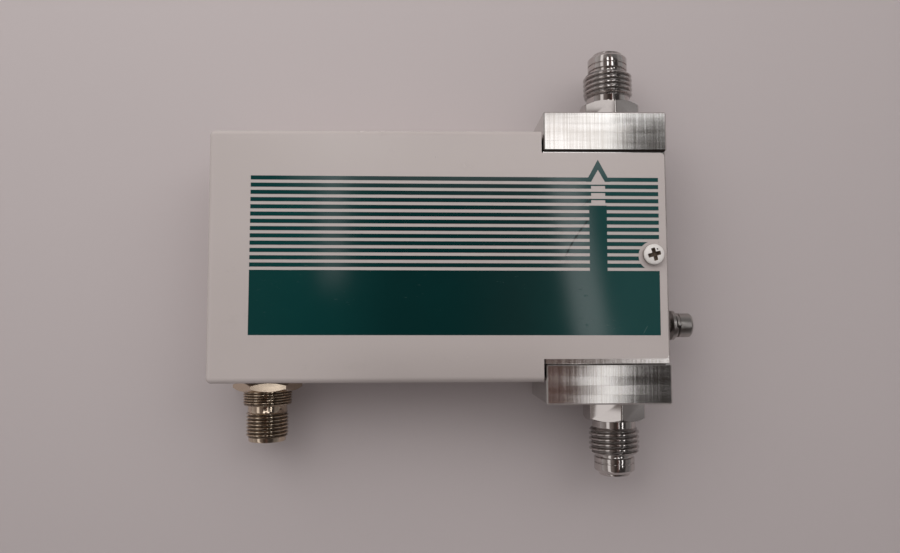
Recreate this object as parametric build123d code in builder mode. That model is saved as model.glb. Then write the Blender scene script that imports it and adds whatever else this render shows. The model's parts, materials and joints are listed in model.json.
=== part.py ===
from build123d import *
import os

# Thermal mass flow controller with a piezo diaphragm valve, lying on its back.
# +X points to the mounting face, +Y the way the gas flows, +Z up, out of the front.
# The origin is under the middle of the gas line, on the plane the back lies on.
# Sizes are in millimetres. A height is measured from the mounting face, towards -X.

# Whole controller
face_to_face = 124.0
body_width = 28.6
overall_height = 126.5
axis_height = 12.7
base_height = 34.4
blocks_across = 80.9
block_thickness = 11.0
block_chamfer = 0.4
fit_clearance = 0.05
shank_clearance = 0.15
head_clearance = 0.2
tap_runout = 0.5
countersink_angle = 90.0

# Folded sheet cover: a box open at the mounting face, with two long tongues
sheet = 1.0
cover_length = 69.4
cover_offset = 0.4
cover_bend_radius = 1.5
cover_gap = 0.1
side_wall_height = 35.0
tongue_length = 56.9
tongue_height = 0.8
tongue_corner_radius = 1.0
cover_screw_height = 4.65
cover_hole_clearance = 0.3

# Gas line
gas_bore_radius = 2.3
seal_outer_radius = 7.5
seal_inner_radius = 6.1
seal_thickness = 1.2
bypass_bore_radius = 5.5
bypass_bore_depth = 25.0
bypass_length = 15.0
bypass_nose_length = 4.0
bypass_nose_angle = 38.0
bypass_groove_count = 16
bypass_groove_width = 0.6
bypass_groove_depth = 1.2
inner_passage_radius = 1.5

# Male face-seal fitting, measured from the end block outwards
hex_across_flats = 15.875
hex_length = 5.7
hex_face_inset = 0.1
hex_corner_drop = 5.2
thread_radius = 7.14
thread_start = 7.9
thread_end = 15.2
thread_chamfer = 0.6
relief_radius = 6.2
neck_radius = 5.1
gland_radius = 5.75
gland_start = 16.3
groove_start = 17.6
groove_width = 0.4
groove_depth = 0.35
gland_end = 20.0
gland_face_radius = 4.5
bead_radius = 0.7
spigot_radius = 4.5
spigot_length = 5.0
inlet_hex_turn = 29.0
outlet_hex_turn = 39.0

# Valve, with its axis square to the gas line
valve_y = 14.0
chamber_radius = 7.0
chamber_depth = 5.5
seat_radius = 2.5
seat_bore_radius = 1.2
seat_lip = 0.2
seat_holder_thickness = 2.0
seat_holder_port_radius = 0.6
seat_holder_port_circle = 5.0
seat_holder_port_count = 8
gallery_width = 1.6
gallery_depth = 0.6
diaphragm_thickness = 0.15
diaphragm_rim = 0.8
diaphragm_edge_gap = 0.2
clamp_height = 2.6
clamp_bore_radius = 4.6
clamp_relief = 0.5
bonnet_size = 22.0
bonnet_thickness = 5.0
bonnet_corner_radius = 2.0
bonnet_recess_floor = 0.8
bonnet_guide_radius = 3.2
bonnet_screw_spacing = 16.2
case_radius = 6.0
case_wall = 0.7
case_floor = 2.0
case_height = 58.0
case_clearance = 0.3
case_lift_gap = 0.2
case_foot_radius = 3.0
spring_radius = 5.0
spring_bore_radius = 2.6
spring_thickness = 0.6
spring_count = 2
bridge_width = 5.0
bridge_thickness = 3.0
bridge_length = 17.0
bridge_clearance = 0.2
window_width = 5.6
window_margin = 0.8
piezo_radius = 4.6
piezo_height = 42.0
piezo_cap_height = 3.0
piezo_sleeve_wall = 0.3
bearing_height = 3.0
nut_height = 2.5
nut_slot_width = 1.2
nut_bore_radius = 1.5
lock_nut_bore_radius = 2.5
housing_radius = 8.5
housing_flange = 3.2
housing_height = 60.0
valve_cap_thickness = 1.5
valve_cap_spigot = 1.4
valve_cap_chamfer = 0.4

# Thermal flow sensor, over the bypass
sensor_y = -16.5
sensor_length = 24.0
sensor_width = 20.0
sensor_thickness = 6.0
sensor_chamfer = 0.5
sensor_port_pitch = 18.0
sensor_port_radius = 0.75
sensor_seal_radius = 2.0
sensor_seal_thickness = 0.6
sensor_screw_spacing_y = 14.0
sensor_screw_spacing_z = 14.8
capillary_radius = 0.4
capillary_height = 20.0
capillary_bend_radius = 2.5
capillary_seat_depth = 3.0
braze_gap = 0.02
winding_radius = 1.2
winding_length = 5.0
winding_spacing = 6.4
sensor_housing_length = 22.0
sensor_housing_width = 9.6
sensor_housing_height = 20.0
sensor_housing_wall = 1.0
sensor_housing_corner = 1.5
sensor_housing_edge = 0.8

# Electronics
chassis_thickness = 1.0
chassis_length = 57.0
chassis_recess_depth = 1.2
chassis_overlap = 8.7
chassis_height = 122.5
chassis_screw_spacing = 32.0
board_thickness = 1.6
board_near_height = 66.7
board_far_height = 122.7
board_corner_radius = 1.0
bus_board_z = 7.0
bus_board_y = -11.0
bus_board_length = 28.0
main_board_inset = 5.0
main_board_length = 57.0
hole_edge = 3.0
standoff_flats = 4.0
standoff_stud_radius = 1.25
stud_length = 4.1
long_standoff_y = 26.0
header_height = 8.0
header_width = 6.0
header_depth = 5.0
header_wall = 0.8
header_recess = 1.2
sensor_header_shift = 1.0
valve_header_inset = 0.5
bus_header_distance = 14.0
valve_header_height = 109.7
board_header_length = 20.0
board_header_width = 5.0
board_header_inset = 2.0
chip_size = 14.0
chip_chamfer = 0.3
coil_radius = 5.0
coil_height = 6.0
coil_inset_x = 8.0
coil_inset_y = 4.0
capacitor_radius = 3.4
capacitor_height = 10.0
capacitor_count = 3
capacitor_pitch = 7.5
capacitor_inset = 5.0
lead_radius = 1.0
bus_lead_radius = 2.0
lead_bend_radius = 5.0
lead_clearance = 0.1

# Round five-pin field-bus receptacle in the wall on the inlet side
connector_height = 113.3
connector_drop = 2.5
panel_thread_radius = 7.0
panel_thread_length = 7.3
coupling_radius = 6.0
coupling_start = 9.3
coupling_end = 16.0
shell_neck_radius = 5.6
shell_length = 17.7
shell_lip_radius = 5.4
shell_chamfer = 0.4
shell_bore_radius = 4.4
shell_flange_radius = 8.5
shell_flange_thickness = 2.0
shell_rear_radius = 6.0
shell_rear_length = 6.3
socket_depth = 7.5
key_width = 1.4
key_depth = 0.5
panel_nut_flats = 17.0
panel_nut_thickness = 2.6
panel_nut_turn = 47.0
panel_nut_face_inset = 0.2
panel_nut_corner_drop = 4.9
gasket_thickness = 0.5
gasket_radius = 8.4
pin_radius = 0.5
pin_circle_radius = 2.5
pin_length = 5.5
pin_tail = 2.0
pin_turn = 45.0
pin_clearance = 0.01

# Screw left in one of the two mounting threads, not driven home
mounting_pitch = 38.1
mounting_thread_depth = 6.0
mounting_screw_length = 12.0
mounting_standout = 4.4
flat_washer_radius = 4.3
flat_washer_thickness = 0.8
spring_washer_radius = 3.7
spring_washer_thickness = 1.35
spring_washer_slit = 0.7
spring_washer_slant = 12.0

# Screws: shank radius, head radius, head height, socket across flats
m2_radius, m2_sink_radius = 1.0, 1.9
m25_radius, m25_head_radius, m25_head_height, m25_socket = 1.25, 2.25, 2.5, 2.0
m25_pan_height = 1.4
m3_radius, m3_head_radius, m3_head_height, m3_socket = 1.5, 2.75, 3.0, 2.5
m3_pan_radius, m3_pan_height, m3_sink_radius = 2.85, 2.0, 2.75
m4_radius, m4_head_radius, m4_head_height, m4_socket = 2.0, 3.5, 4.0, 3.0
recess_width = 0.8
recess_taper = 12.0
block_screw_length = 12.0
block_counterbore = 3.4
block_screw_edge = 4.0
bonnet_screw_length = 12.0
sensor_screw_length = 10.0
board_screw_length = 5.0
cover_screw_length = 6.0
chassis_screw_length = 4.0

# Places worked out from the sizes above
axis_z = body_width / 2
mounting_x = axis_height
top_x = mounting_x - base_height
block_outer_y = blocks_across / 2
block_inner_y = block_outer_y - block_thickness
base_width = body_width - 2 * (sheet + cover_gap)
cover_inlet_y = cover_offset - cover_length / 2
fitting_length = face_to_face / 2 - block_outer_y
valve_floor = bonnet_recess_floor + case_lift_gap
case_inner_radius = case_radius - case_wall
bridge_level = bonnet_thickness
piezo_level = bridge_level + bridge_thickness
bearing_level = piezo_level + piezo_height
main_board_z = body_width - main_board_inset
connector_z = axis_z - connector_drop
board_length_x = board_far_height - board_near_height
board_x = mounting_x - (board_near_height + board_far_height) / 2
chassis_z = sheet + cover_gap + chassis_recess_depth - chassis_thickness
connector_x = mounting_x - connector_height
bus_board_top = bus_board_z + board_thickness
main_board_top = main_board_z + board_thickness


def above_mounting(height, y=0.0, z=axis_z):
    """A plane square to X at a height, facing away from the mounting face."""
    return Plane(origin=(mounting_x - height, y, z), x_dir=(0, 1, 0), z_dir=(-1, 0, 0))


def above_base(level, y=0.0, z=axis_z):
    """The same, with the level counted from the top face of the base body."""
    return above_mounting(base_height + level, y, z)


def across_gas(y, side, x=0.0, z=axis_z):
    """A plane square to the gas line, facing out of the inlet (-1) or outlet (1)."""
    return Plane(origin=(x, y, z), x_dir=(1, 0, 0), z_dir=(0, side, 0))


def valve_section(level):
    """A lengthwise plane through the valve axis: radius across, level upwards."""
    return Plane(origin=(top_x - level, valve_y, axis_z), x_dir=(0, 1, 0), z_dir=(0, 0, 1))


def finish(part, name):
    part.label = name
    export_step(part, f"parts/{name}.step")


def socket_screw(radius, head_radius, head_height, flats, length):
    """Cap screw along Z, with the underside of its head at zero."""
    with BuildPart() as screw:
        with BuildSketch():
            Circle(head_radius)
        extrude(amount=head_height)
        fillet(screw.edges().group_by(Axis.Z)[-1], head_height * 0.12)
        with BuildSketch(Plane.XY.offset(head_height)):
            RegularPolygon(flats / 2, 6, major_radius=False)
        extrude(amount=-head_height / 2, mode=Mode.SUBTRACT)
        with BuildSketch():
            Circle(radius)
        extrude(amount=-length)
        chamfer(screw.edges().group_by(Axis.Z)[0], radius * 0.2)
    return screw.part


def cross_recess(width, length, depth):
    """Cutter for a cross recess, sunk from zero and narrowing downwards."""
    with BuildPart() as recess:
        with BuildSketch():
            Rectangle(length, width)
            Rectangle(width, length)
        extrude(amount=-depth, taper=recess_taper)
    return recess.part


def pan_screw(radius, head_radius, head_height, length):
    """Domed screw with a cross recess, the underside of its head at zero."""
    edge_height = head_height * 0.3
    dome_height = head_height - edge_height
    with BuildPart() as screw:
        with BuildSketch(Plane.XZ):
            with BuildLine():
                Line((0, 0), (head_radius, 0))
                Line((head_radius, 0), (head_radius, edge_height))
                EllipticalCenterArc((0, edge_height), head_radius, dome_height, 0, arc_size=90)
                Line((0, head_height), (0, 0))
            make_face()
        revolve(axis=Axis.Z)
        with BuildSketch():
            Circle(radius)
        extrude(amount=-length)
        chamfer(screw.edges().group_by(Axis.Z)[0], radius * 0.2)
        with Locations((0, 0, head_height)):
            add(cross_recess(recess_width, head_radius * 1.1, head_height * 0.6), mode=Mode.SUBTRACT)
    return screw.part


def countersunk_screw(radius, sink_radius, length):
    """Flush screw with a cross recess, the face of its head at zero."""
    with BuildPart() as screw:
        with BuildSketch(Plane.XZ):
            Polygon(
                (0, 0),
                (sink_radius, 0),
                (radius, radius - sink_radius),
                (radius, -length),
                (0, -length),
                align=None,
            )
        revolve(axis=Axis.Z)
        add(cross_recess(recess_width, sink_radius * 1.1, sink_radius * 0.4), mode=Mode.SUBTRACT)
    return screw.part


def ring(plane, outer_radius, inner_radius, thickness):
    """Flat ring that stands on a plane."""
    with BuildPart() as body:
        with BuildSketch(plane):
            Circle(outer_radius)
            Circle(inner_radius, mode=Mode.SUBTRACT)
        extrude(amount=thickness)
    return body.part


def at_each(shape, places):
    """Copies of a shape on several planes or points, as separate solids."""
    with BuildPart() as group:
        with Locations(*places):
            add(shape)
    return group.part


block_screw_places = [
    (x, z)
    for x in (top_x + block_screw_edge, mounting_x - block_screw_edge)
    for z in (block_screw_edge, body_width - block_screw_edge)
]
bonnet_screw_places = [
    (valve_y + i * bonnet_screw_spacing / 2, axis_z + j * bonnet_screw_spacing / 2)
    for i in (-1, 1)
    for j in (-1, 1)
]
sensor_screw_places = [
    (sensor_y + i * sensor_screw_spacing_y / 2, axis_z + j * sensor_screw_spacing_z / 2)
    for i in (-1, 1)
    for j in (-1, 1)
]
sensor_port_places = [sensor_y - sensor_port_pitch / 2, sensor_y + sensor_port_pitch / 2]
cover_screw_point = (mounting_x - cover_screw_height, cover_offset)
board_hole_columns = [
    mounting_x - board_near_height - hole_edge,
    mounting_x - board_far_height + hole_edge,
]
bus_hole_rows = [
    bus_board_y - bus_board_length / 2 + hole_edge,
    bus_board_y + bus_board_length / 2 - hole_edge,
]
bus_holes = [(x, y) for x in board_hole_columns for y in bus_hole_rows]
long_standoff_points = [(x, long_standoff_y) for x in board_hole_columns]
chassis_screw_points = [
    (top_x + chassis_overlap / 2, -chassis_screw_spacing / 2),
    (top_x + chassis_overlap / 2, chassis_screw_spacing / 2),
]


def make_cover():
    with BuildPart() as cover:
        with BuildSketch(above_mounting(tongue_height, cover_offset)):
            Rectangle(cover_length, body_width)
        extrude(amount=overall_height - tongue_height)
        fillet(cover.edges().filter_by(Axis.X), cover_bend_radius)
        fillet(cover.faces().sort_by(Axis.X)[0].edges(), cover_bend_radius)
        offset(amount=-sheet, openings=cover.faces().sort_by(Axis.X)[-1])
        # The side walls stop short of the end blocks and leave the two tongues.
        corner_length = (cover_length - tongue_length) / 2
        notch_height = side_wall_height - tongue_height
        with BuildSketch(Plane.XY):
            for side in (-1, 1):
                with Locations(
                    (
                        mounting_x - tongue_height - notch_height / 2,
                        cover_offset + side * (tongue_length + corner_length) / 2,
                    )
                ):
                    Rectangle(notch_height, corner_length)
        extrude(amount=body_width, mode=Mode.SUBTRACT)
        fillet(cover.edges().filter_by(Axis.Z).group_by(Axis.X)[-1], tongue_corner_radius)
        with Locations(Location((*cover_screw_point, body_width))):
            Hole(m3_radius + cover_hole_clearance, depth=2 * sheet)
        with Locations(Location((*cover_screw_point, 0), (180, 0, 0))):
            CounterSinkHole(
                m3_radius + cover_hole_clearance,
                m3_sink_radius + fit_clearance,
                2 * sheet,
                countersink_angle,
            )
        with Locations(across_gas(cover_inlet_y, -1, connector_x, connector_z)):
            Hole(panel_thread_radius + fit_clearance, depth=2 * sheet)
    return cover.part


def make_base_body():
    with BuildPart() as base:
        with BuildSketch(above_mounting(0)):
            Rectangle(2 * block_inner_y, base_width)
        extrude(amount=base_height)
        chamfer(base.faces().sort_by(Axis.X)[-1].edges().filter_by(Axis.Y), block_chamfer)
        # Inlet side: bore for the laminar bypass, then the passage to the valve.
        with Locations(across_gas(-block_inner_y, -1)):
            Hole(bypass_bore_radius, depth=bypass_bore_depth)
            Hole(inner_passage_radius, depth=valve_y + inner_passage_radius + block_inner_y)
        # Outlet side: bore back to the port beside the valve seat.
        port_y = valve_y + seat_holder_port_circle
        with Locations(across_gas(block_inner_y, 1)):
            Hole(gas_bore_radius, depth=block_inner_y - port_y + inner_passage_radius)
        with Locations(above_base(0, valve_y)):
            CounterBoreHole(inner_passage_radius, chamber_radius, chamber_depth, -top_x)
        with Locations(above_base(0, port_y)):
            Hole(inner_passage_radius * 0.8, depth=-top_x)
        # Sensor ports, each with a seat for its seal.
        with Locations(*[above_base(0, y) for y in sensor_port_places]):
            CounterBoreHole(
                sensor_port_radius,
                sensor_seal_radius + fit_clearance,
                sensor_seal_thickness,
                -top_x - bypass_bore_radius + sensor_port_radius,
            )
        # Tapped holes, drawn at the size of the thread.
        with Locations(*[above_base(0, y, z) for y, z in bonnet_screw_places]):
            depth = bonnet_screw_length - bonnet_thickness - housing_flange + tap_runout
            Hole(m3_radius + fit_clearance, depth=depth)
        with Locations(*[above_base(0, y, z) for y, z in sensor_screw_places]):
            depth = sensor_screw_length - sensor_thickness + tap_runout
            Hole(m25_radius + fit_clearance, depth=depth)
        for side in (-1, 1):
            mouths = [across_gas(side * block_inner_y, side, x, z) for x, z in block_screw_places]
            with Locations(*mouths):
                depth = block_screw_length - block_thickness + block_counterbore + tap_runout
                Hole(m3_radius + fit_clearance, depth=depth)
        with Locations(
            *[
                Plane(origin=(mounting_x, side * mounting_pitch / 2, axis_z), z_dir=(1, 0, 0))
                for side in (-1, 1)
            ]
        ):
            Hole(m4_radius + fit_clearance, depth=mounting_thread_depth)
        with Locations(Location((*cover_screw_point, body_width - sheet - cover_gap))):
            Hole(m3_radius + fit_clearance, depth=cover_screw_length)
        with Locations(Location((*cover_screw_point, sheet + cover_gap), (180, 0, 0))):
            Hole(m3_radius + fit_clearance, depth=cover_screw_length)
            sink = m3_sink_radius + fit_clearance - sheet
            CounterSinkHole(m3_radius + fit_clearance, sink, cover_screw_length, countersink_angle)
        # Recess in the back for the end of the chassis plate.
        with BuildSketch(Plane.XY.offset(sheet + cover_gap)):
            with Locations((top_x + chassis_overlap / 2, cover_offset)):
                Rectangle(chassis_overlap + fit_clearance, chassis_length + 2 * fit_clearance)
        extrude(amount=chassis_recess_depth, mode=Mode.SUBTRACT)
        with Locations(
            *[
                Location((x, y, sheet + cover_gap + chassis_recess_depth), (180, 0, 0))
                for x, y in chassis_screw_points
            ]
        ):
            Hole(m2_radius + fit_clearance, depth=chassis_screw_length)
    return base.part


def make_end_block(side):
    with BuildPart() as block:
        with BuildSketch(across_gas(side * block_inner_y, side)):
            with Locations(((top_x + mounting_x) / 2, 0)):
                Rectangle(base_height, body_width)
        extrude(amount=block_thickness)
        chamfer(block.edges(), block_chamfer)
        with Locations(across_gas(side * block_outer_y, side)):
            CounterBoreHole(gas_bore_radius, spigot_radius + fit_clearance, spigot_length)
        with Locations(across_gas(side * block_inner_y, -side)):
            Hole(seal_outer_radius + fit_clearance, depth=seal_thickness)
        mouths = [across_gas(side * block_outer_y, side, x, z) for x, z in block_screw_places]
        with Locations(*mouths):
            CounterBoreHole(
                m3_radius + shank_clearance, m3_head_radius + head_clearance, block_counterbore
            )
    return block.part


def make_fitting(side, hex_turn):
    face = side * block_outer_y
    axis = Axis((0, 0, axis_z), (0, 1, 0))
    gland_chamfer = fitting_length - bead_radius - gland_end

    def at(radius, distance):
        return (radius, face + side * distance)

    with BuildPart() as fitting:
        with BuildSketch(across_gas(face, side)):
            RegularPolygon(hex_across_flats / 2, 6, major_radius=False, rotation=hex_turn)
        extrude(amount=hex_length)
        # Corners of the hexagon turned off towards the thread.
        with BuildSketch(Plane.XY.offset(axis_z)):
            with BuildLine():
                Polyline(
                    at(hex_across_flats / 2 - hex_face_inset, hex_length),
                    at(hex_across_flats, hex_length),
                    at(hex_across_flats, hex_length - hex_corner_drop),
                    close=True,
                )
            make_face()
        revolve(axis=axis, mode=Mode.SUBTRACT)
        with BuildSketch(Plane.XY.offset(axis_z)):
            with BuildLine():
                Polyline(
                    at(0, -spigot_length),
                    at(spigot_radius, -spigot_length),
                    at(spigot_radius, 0),
                    at(relief_radius, 0),
                    at(relief_radius, thread_start),
                    at(thread_radius - thread_chamfer, thread_start),
                    at(thread_radius, thread_start + thread_chamfer),
                    at(thread_radius, thread_end - thread_chamfer),
                    at(thread_radius - thread_chamfer, thread_end),
                    at(neck_radius, thread_end),
                    at(neck_radius, gland_start),
                    at(gland_radius, gland_start),
                    at(gland_radius, groove_start),
                    at(gland_radius - groove_depth, groove_start),
                    at(gland_radius - groove_depth, groove_start + groove_width),
                    at(gland_radius, groove_start + groove_width),
                    at(gland_radius, gland_end),
                    at(gland_face_radius, gland_end + gland_chamfer),
                )
                # Half-round sealing bead on the end face.
                ThreePointArc(
                    at(gland_face_radius, gland_end + gland_chamfer),
                    at(gland_face_radius - bead_radius, fitting_length),
                    at(gland_face_radius - 2 * bead_radius, gland_end + gland_chamfer),
                )
                Polyline(
                    at(gland_face_radius - 2 * bead_radius, gland_end + gland_chamfer),
                    at(0, gland_end + gland_chamfer),
                    at(0, -spigot_length),
                )
            make_face()
        revolve(axis=axis)
        with Locations(across_gas(side * face_to_face / 2, side)):
            Hole(gas_bore_radius, depth=2 * fitting_length)
    return fitting.part


def make_bypass():
    """Grooved laminar element between the sensor ports, with a cone towards the inlet."""
    start = sensor_y - bypass_length / 2
    with BuildPart() as bypass:
        with BuildSketch(across_gas(start, 1)):
            Circle(bypass_bore_radius - fit_clearance)
            with PolarLocations(bypass_bore_radius, bypass_groove_count):
                Rectangle(2 * bypass_groove_depth, bypass_groove_width, mode=Mode.SUBTRACT)
        extrude(amount=bypass_length)
        with BuildSketch(across_gas(start, -1)):
            Circle(bypass_bore_radius - bypass_groove_depth)
        extrude(amount=bypass_nose_length, taper=bypass_nose_angle)
    return bypass.part


def make_seat_holder():
    with BuildPart() as holder:
        with BuildSketch(above_base(-chamber_depth, valve_y)):
            Circle(chamber_radius - fit_clearance)
            Circle(seat_radius + fit_clearance, mode=Mode.SUBTRACT)
            with PolarLocations(seat_holder_port_circle, seat_holder_port_count):
                Circle(seat_holder_port_radius, mode=Mode.SUBTRACT)
        extrude(amount=seat_holder_thickness)
        # Gallery that joins the small ports underneath.
        with BuildSketch(above_base(-chamber_depth, valve_y)):
            Circle(seat_holder_port_circle + gallery_width / 2)
            Circle(seat_holder_port_circle - gallery_width / 2, mode=Mode.SUBTRACT)
        extrude(amount=gallery_depth, mode=Mode.SUBTRACT)
    return holder.part


def make_valve_seat():
    height = seat_holder_thickness + seat_lip
    with BuildPart() as seat:
        with BuildSketch(above_base(-chamber_depth, valve_y)):
            Circle(seat_radius)
            Circle(seat_bore_radius, mode=Mode.SUBTRACT)
        extrude(amount=height)
        chamfer(seat.faces().sort_by(Axis.X)[0].edges().sort_by(SortBy.RADIUS)[-1], seat_lip)
    return seat.part


def make_diaphragm():
    """Thin disc with a flat rim, its middle lifted onto the lip of the seat."""
    level = seat_holder_thickness - chamber_depth
    rim_radius = chamber_radius - diaphragm_edge_gap
    dome_radius = rim_radius - diaphragm_rim
    top = diaphragm_thickness
    with BuildPart() as diaphragm:
        with BuildSketch(valve_section(level)):
            Polygon(
                (0, seat_lip),
                (seat_radius, seat_lip),
                (dome_radius, 0),
                (rim_radius, 0),
                (rim_radius, top),
                (dome_radius, top),
                (seat_radius, seat_lip + top),
                (0, seat_lip + top),
                align=None,
            )
        revolve(axis=Axis((0, valve_y, axis_z), (1, 0, 0)))
    return diaphragm.part


def make_diaphragm_clamp():
    level = seat_holder_thickness - chamber_depth + diaphragm_thickness
    with BuildPart() as clamp:
        with BuildSketch(above_base(level, valve_y)):
            Circle(chamber_radius - fit_clearance)
            Circle(clamp_bore_radius, mode=Mode.SUBTRACT)
        extrude(amount=clamp_height)
        with BuildSketch(above_base(level, valve_y)):
            Circle(chamber_radius - diaphragm_edge_gap - diaphragm_rim)
        extrude(amount=clamp_relief, mode=Mode.SUBTRACT)
    return clamp.part


def make_bonnet():
    clamp_top = seat_holder_thickness - chamber_depth + diaphragm_thickness + clamp_height
    with BuildPart() as bonnet:
        with BuildSketch(above_base(0, valve_y)):
            RectangleRounded(bonnet_size, bonnet_size, bonnet_corner_radius)
        extrude(amount=bonnet_thickness)
        with BuildSketch(above_base(0, valve_y)):
            Circle(chamber_radius - fit_clearance)
        extrude(amount=clamp_top)
        with Locations(above_base(bonnet_thickness, valve_y)):
            CounterBoreHole(
                bonnet_guide_radius,
                case_radius + case_clearance,
                bonnet_thickness - bonnet_recess_floor,
            )
        with Locations(*[above_base(bonnet_thickness, y, z) for y, z in bonnet_screw_places]):
            Hole(m3_radius + shank_clearance)
    return bonnet.part


def make_actuator_case():
    """Closed cylinder whose foot holds the diaphragm on the seat."""
    foot_level = seat_holder_thickness - chamber_depth + seat_lip + diaphragm_thickness
    with BuildPart() as case:
        with BuildSketch(above_base(valve_floor, valve_y)):
            Circle(case_radius)
        extrude(amount=case_height - valve_floor)
        with BuildSketch(above_base(valve_floor + case_floor, valve_y)):
            Circle(case_inner_radius)
        extrude(amount=case_height, mode=Mode.SUBTRACT)
        with BuildSketch(above_base(foot_level, valve_y)):
            Circle(case_foot_radius)
        extrude(amount=valve_floor - foot_level)
        chamfer(case.edges().group_by(Axis.X)[-1], case_foot_radius / 3)
        # Windows for the fixed bridge.
        window_height = bridge_thickness + 2 * window_margin
        with BuildSketch(above_base(bridge_level - window_margin, valve_y)):
            Rectangle(3 * case_radius, window_width)
        extrude(amount=window_height, mode=Mode.SUBTRACT)
    return case.part


def make_disc_springs():
    """Two coned washers, back to back, between the case floor and the bridge."""
    bottom = valve_floor + case_floor
    cone = (bridge_level - bottom) / spring_count - spring_thickness
    with BuildPart() as springs:
        for index in range(spring_count):
            low = index * (spring_thickness + cone)
            inner, outer = (cone, 0) if index % 2 == 0 else (0, cone)
            with BuildSketch(valve_section(bottom)):
                Polygon(
                    (spring_bore_radius, low + inner),
                    (spring_radius, low + outer),
                    (spring_radius, low + outer + spring_thickness),
                    (spring_bore_radius, low + inner + spring_thickness),
                    align=None,
                )
            revolve(axis=Axis((0, valve_y, axis_z), (1, 0, 0)))
    return springs.part


def make_bridge():
    with BuildPart() as bridge:
        with BuildSketch(above_base(bridge_level, valve_y)):
            SlotOverall(bridge_length, bridge_width)
        extrude(amount=bridge_thickness)
    return bridge.part


def make_piezo_stack():
    """Sealed stack of piezo plates with a steel cap at each end."""
    with BuildPart() as stack:
        with BuildSketch(above_base(piezo_level, valve_y)):
            Circle(piezo_radius)
        extrude(amount=piezo_height)
        body_height = piezo_height - 2 * piezo_cap_height
        with BuildSketch(above_base(piezo_level + piezo_cap_height, valve_y)):
            Circle(piezo_radius)
            Circle(piezo_radius - piezo_sleeve_wall, mode=Mode.SUBTRACT)
        extrude(amount=body_height, mode=Mode.SUBTRACT)
    return stack.part


def make_slotted_nut(level, bore_radius):
    with BuildPart() as nut:
        with BuildSketch(above_base(level, valve_y)):
            Circle(case_inner_radius - fit_clearance)
            Circle(bore_radius, mode=Mode.SUBTRACT)
        extrude(amount=nut_height)
        with BuildSketch(above_base(level + nut_height, valve_y)):
            Rectangle(3 * case_radius, nut_slot_width)
        extrude(amount=-nut_height / 3, mode=Mode.SUBTRACT)
    return nut.part


def make_valve_housing():
    with BuildPart() as housing:
        with BuildSketch(above_base(bonnet_thickness, valve_y)):
            RectangleRounded(bonnet_size, bonnet_size, bonnet_corner_radius)
        extrude(amount=housing_flange)
        with BuildSketch(above_base(bonnet_thickness, valve_y)):
            Circle(housing_radius)
        extrude(amount=housing_height - bonnet_thickness)
        with Locations(above_base(housing_height, valve_y)):
            Hole(case_radius + case_clearance)
        with BuildSketch(above_base(bonnet_thickness, valve_y)):
            SlotOverall(bridge_length + bridge_clearance, bridge_width + bridge_clearance)
        extrude(amount=bridge_thickness, mode=Mode.SUBTRACT)
        with Locations(
            *[above_base(bonnet_thickness + housing_flange, y, z) for y, z in bonnet_screw_places]
        ):
            Hole(m3_radius + shank_clearance, depth=2 * housing_flange)
    return housing.part


def make_valve_cap():
    with BuildPart() as cap:
        with BuildSketch(above_base(housing_height, valve_y)):
            Circle(housing_radius)
        extrude(amount=valve_cap_thickness)
        chamfer(cap.edges().group_by(Axis.X)[0], valve_cap_chamfer)
        with BuildSketch(above_base(housing_height, valve_y)):
            Circle(case_radius + case_clearance - fit_clearance)
        extrude(amount=-valve_cap_spigot)
        with Locations(above_base(housing_height + valve_cap_thickness, valve_y)):
            Hole(lead_radius + lead_clearance)
    return cap.part


def make_sensor_body():
    turned_over = Location((0, 0, 0), (180, 0, 0))
    with BuildPart() as body:
        with BuildSketch(above_base(0, sensor_y)):
            Rectangle(sensor_length, sensor_width)
        extrude(amount=sensor_thickness)
        chamfer(body.faces().sort_by(Axis.X)[0].edges(), sensor_chamfer)
        with Locations(*[above_base(sensor_thickness, y) for y in sensor_port_places]):
            Hole(capillary_radius + braze_gap)
        with Locations(*[above_base(0, y).location * turned_over for y in sensor_port_places]):
            Hole(sensor_port_radius, depth=capillary_seat_depth)
        with Locations(*[above_base(sensor_thickness, y, z) for y, z in sensor_screw_places]):
            Hole(m25_radius + shank_clearance)
    return body.part


def make_capillary():
    """U of fine tube that stands on the sensor body."""
    with BuildPart() as capillary:
        with BuildLine(Plane(origin=(top_x, 0, axis_z), x_dir=(0, 1, 0), z_dir=(0, 0, 1))):
            FilletPolyline(
                (sensor_port_places[0], capillary_seat_depth),
                (sensor_port_places[0], capillary_height),
                (sensor_port_places[1], capillary_height),
                (sensor_port_places[1], capillary_seat_depth),
                radius=capillary_bend_radius,
            )
        with BuildSketch(above_base(capillary_seat_depth, sensor_port_places[0])):
            Circle(capillary_radius)
        sweep()
    return capillary.part


def make_windings():
    middle = top_x - capillary_height
    with BuildPart() as windings:
        for side in (-1, 1):
            start = sensor_y + side * winding_spacing / 2 - winding_length / 2
            with BuildSketch(across_gas(start, 1, middle)):
                Circle(winding_radius)
                Circle(capillary_radius + braze_gap, mode=Mode.SUBTRACT)
            extrude(amount=winding_length)
    return windings.part


def make_sensor_housing():
    with BuildPart() as housing:
        with BuildSketch(above_base(sensor_thickness, sensor_y)):
            Rectangle(sensor_housing_length, sensor_housing_width)
        extrude(amount=sensor_housing_height)
        fillet(housing.edges().filter_by(Axis.X), sensor_housing_corner)
        fillet(housing.faces().sort_by(Axis.X)[0].edges(), sensor_housing_edge)
        offset(amount=-sensor_housing_wall, openings=housing.faces().sort_by(Axis.X)[-1])
    return housing.part


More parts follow.
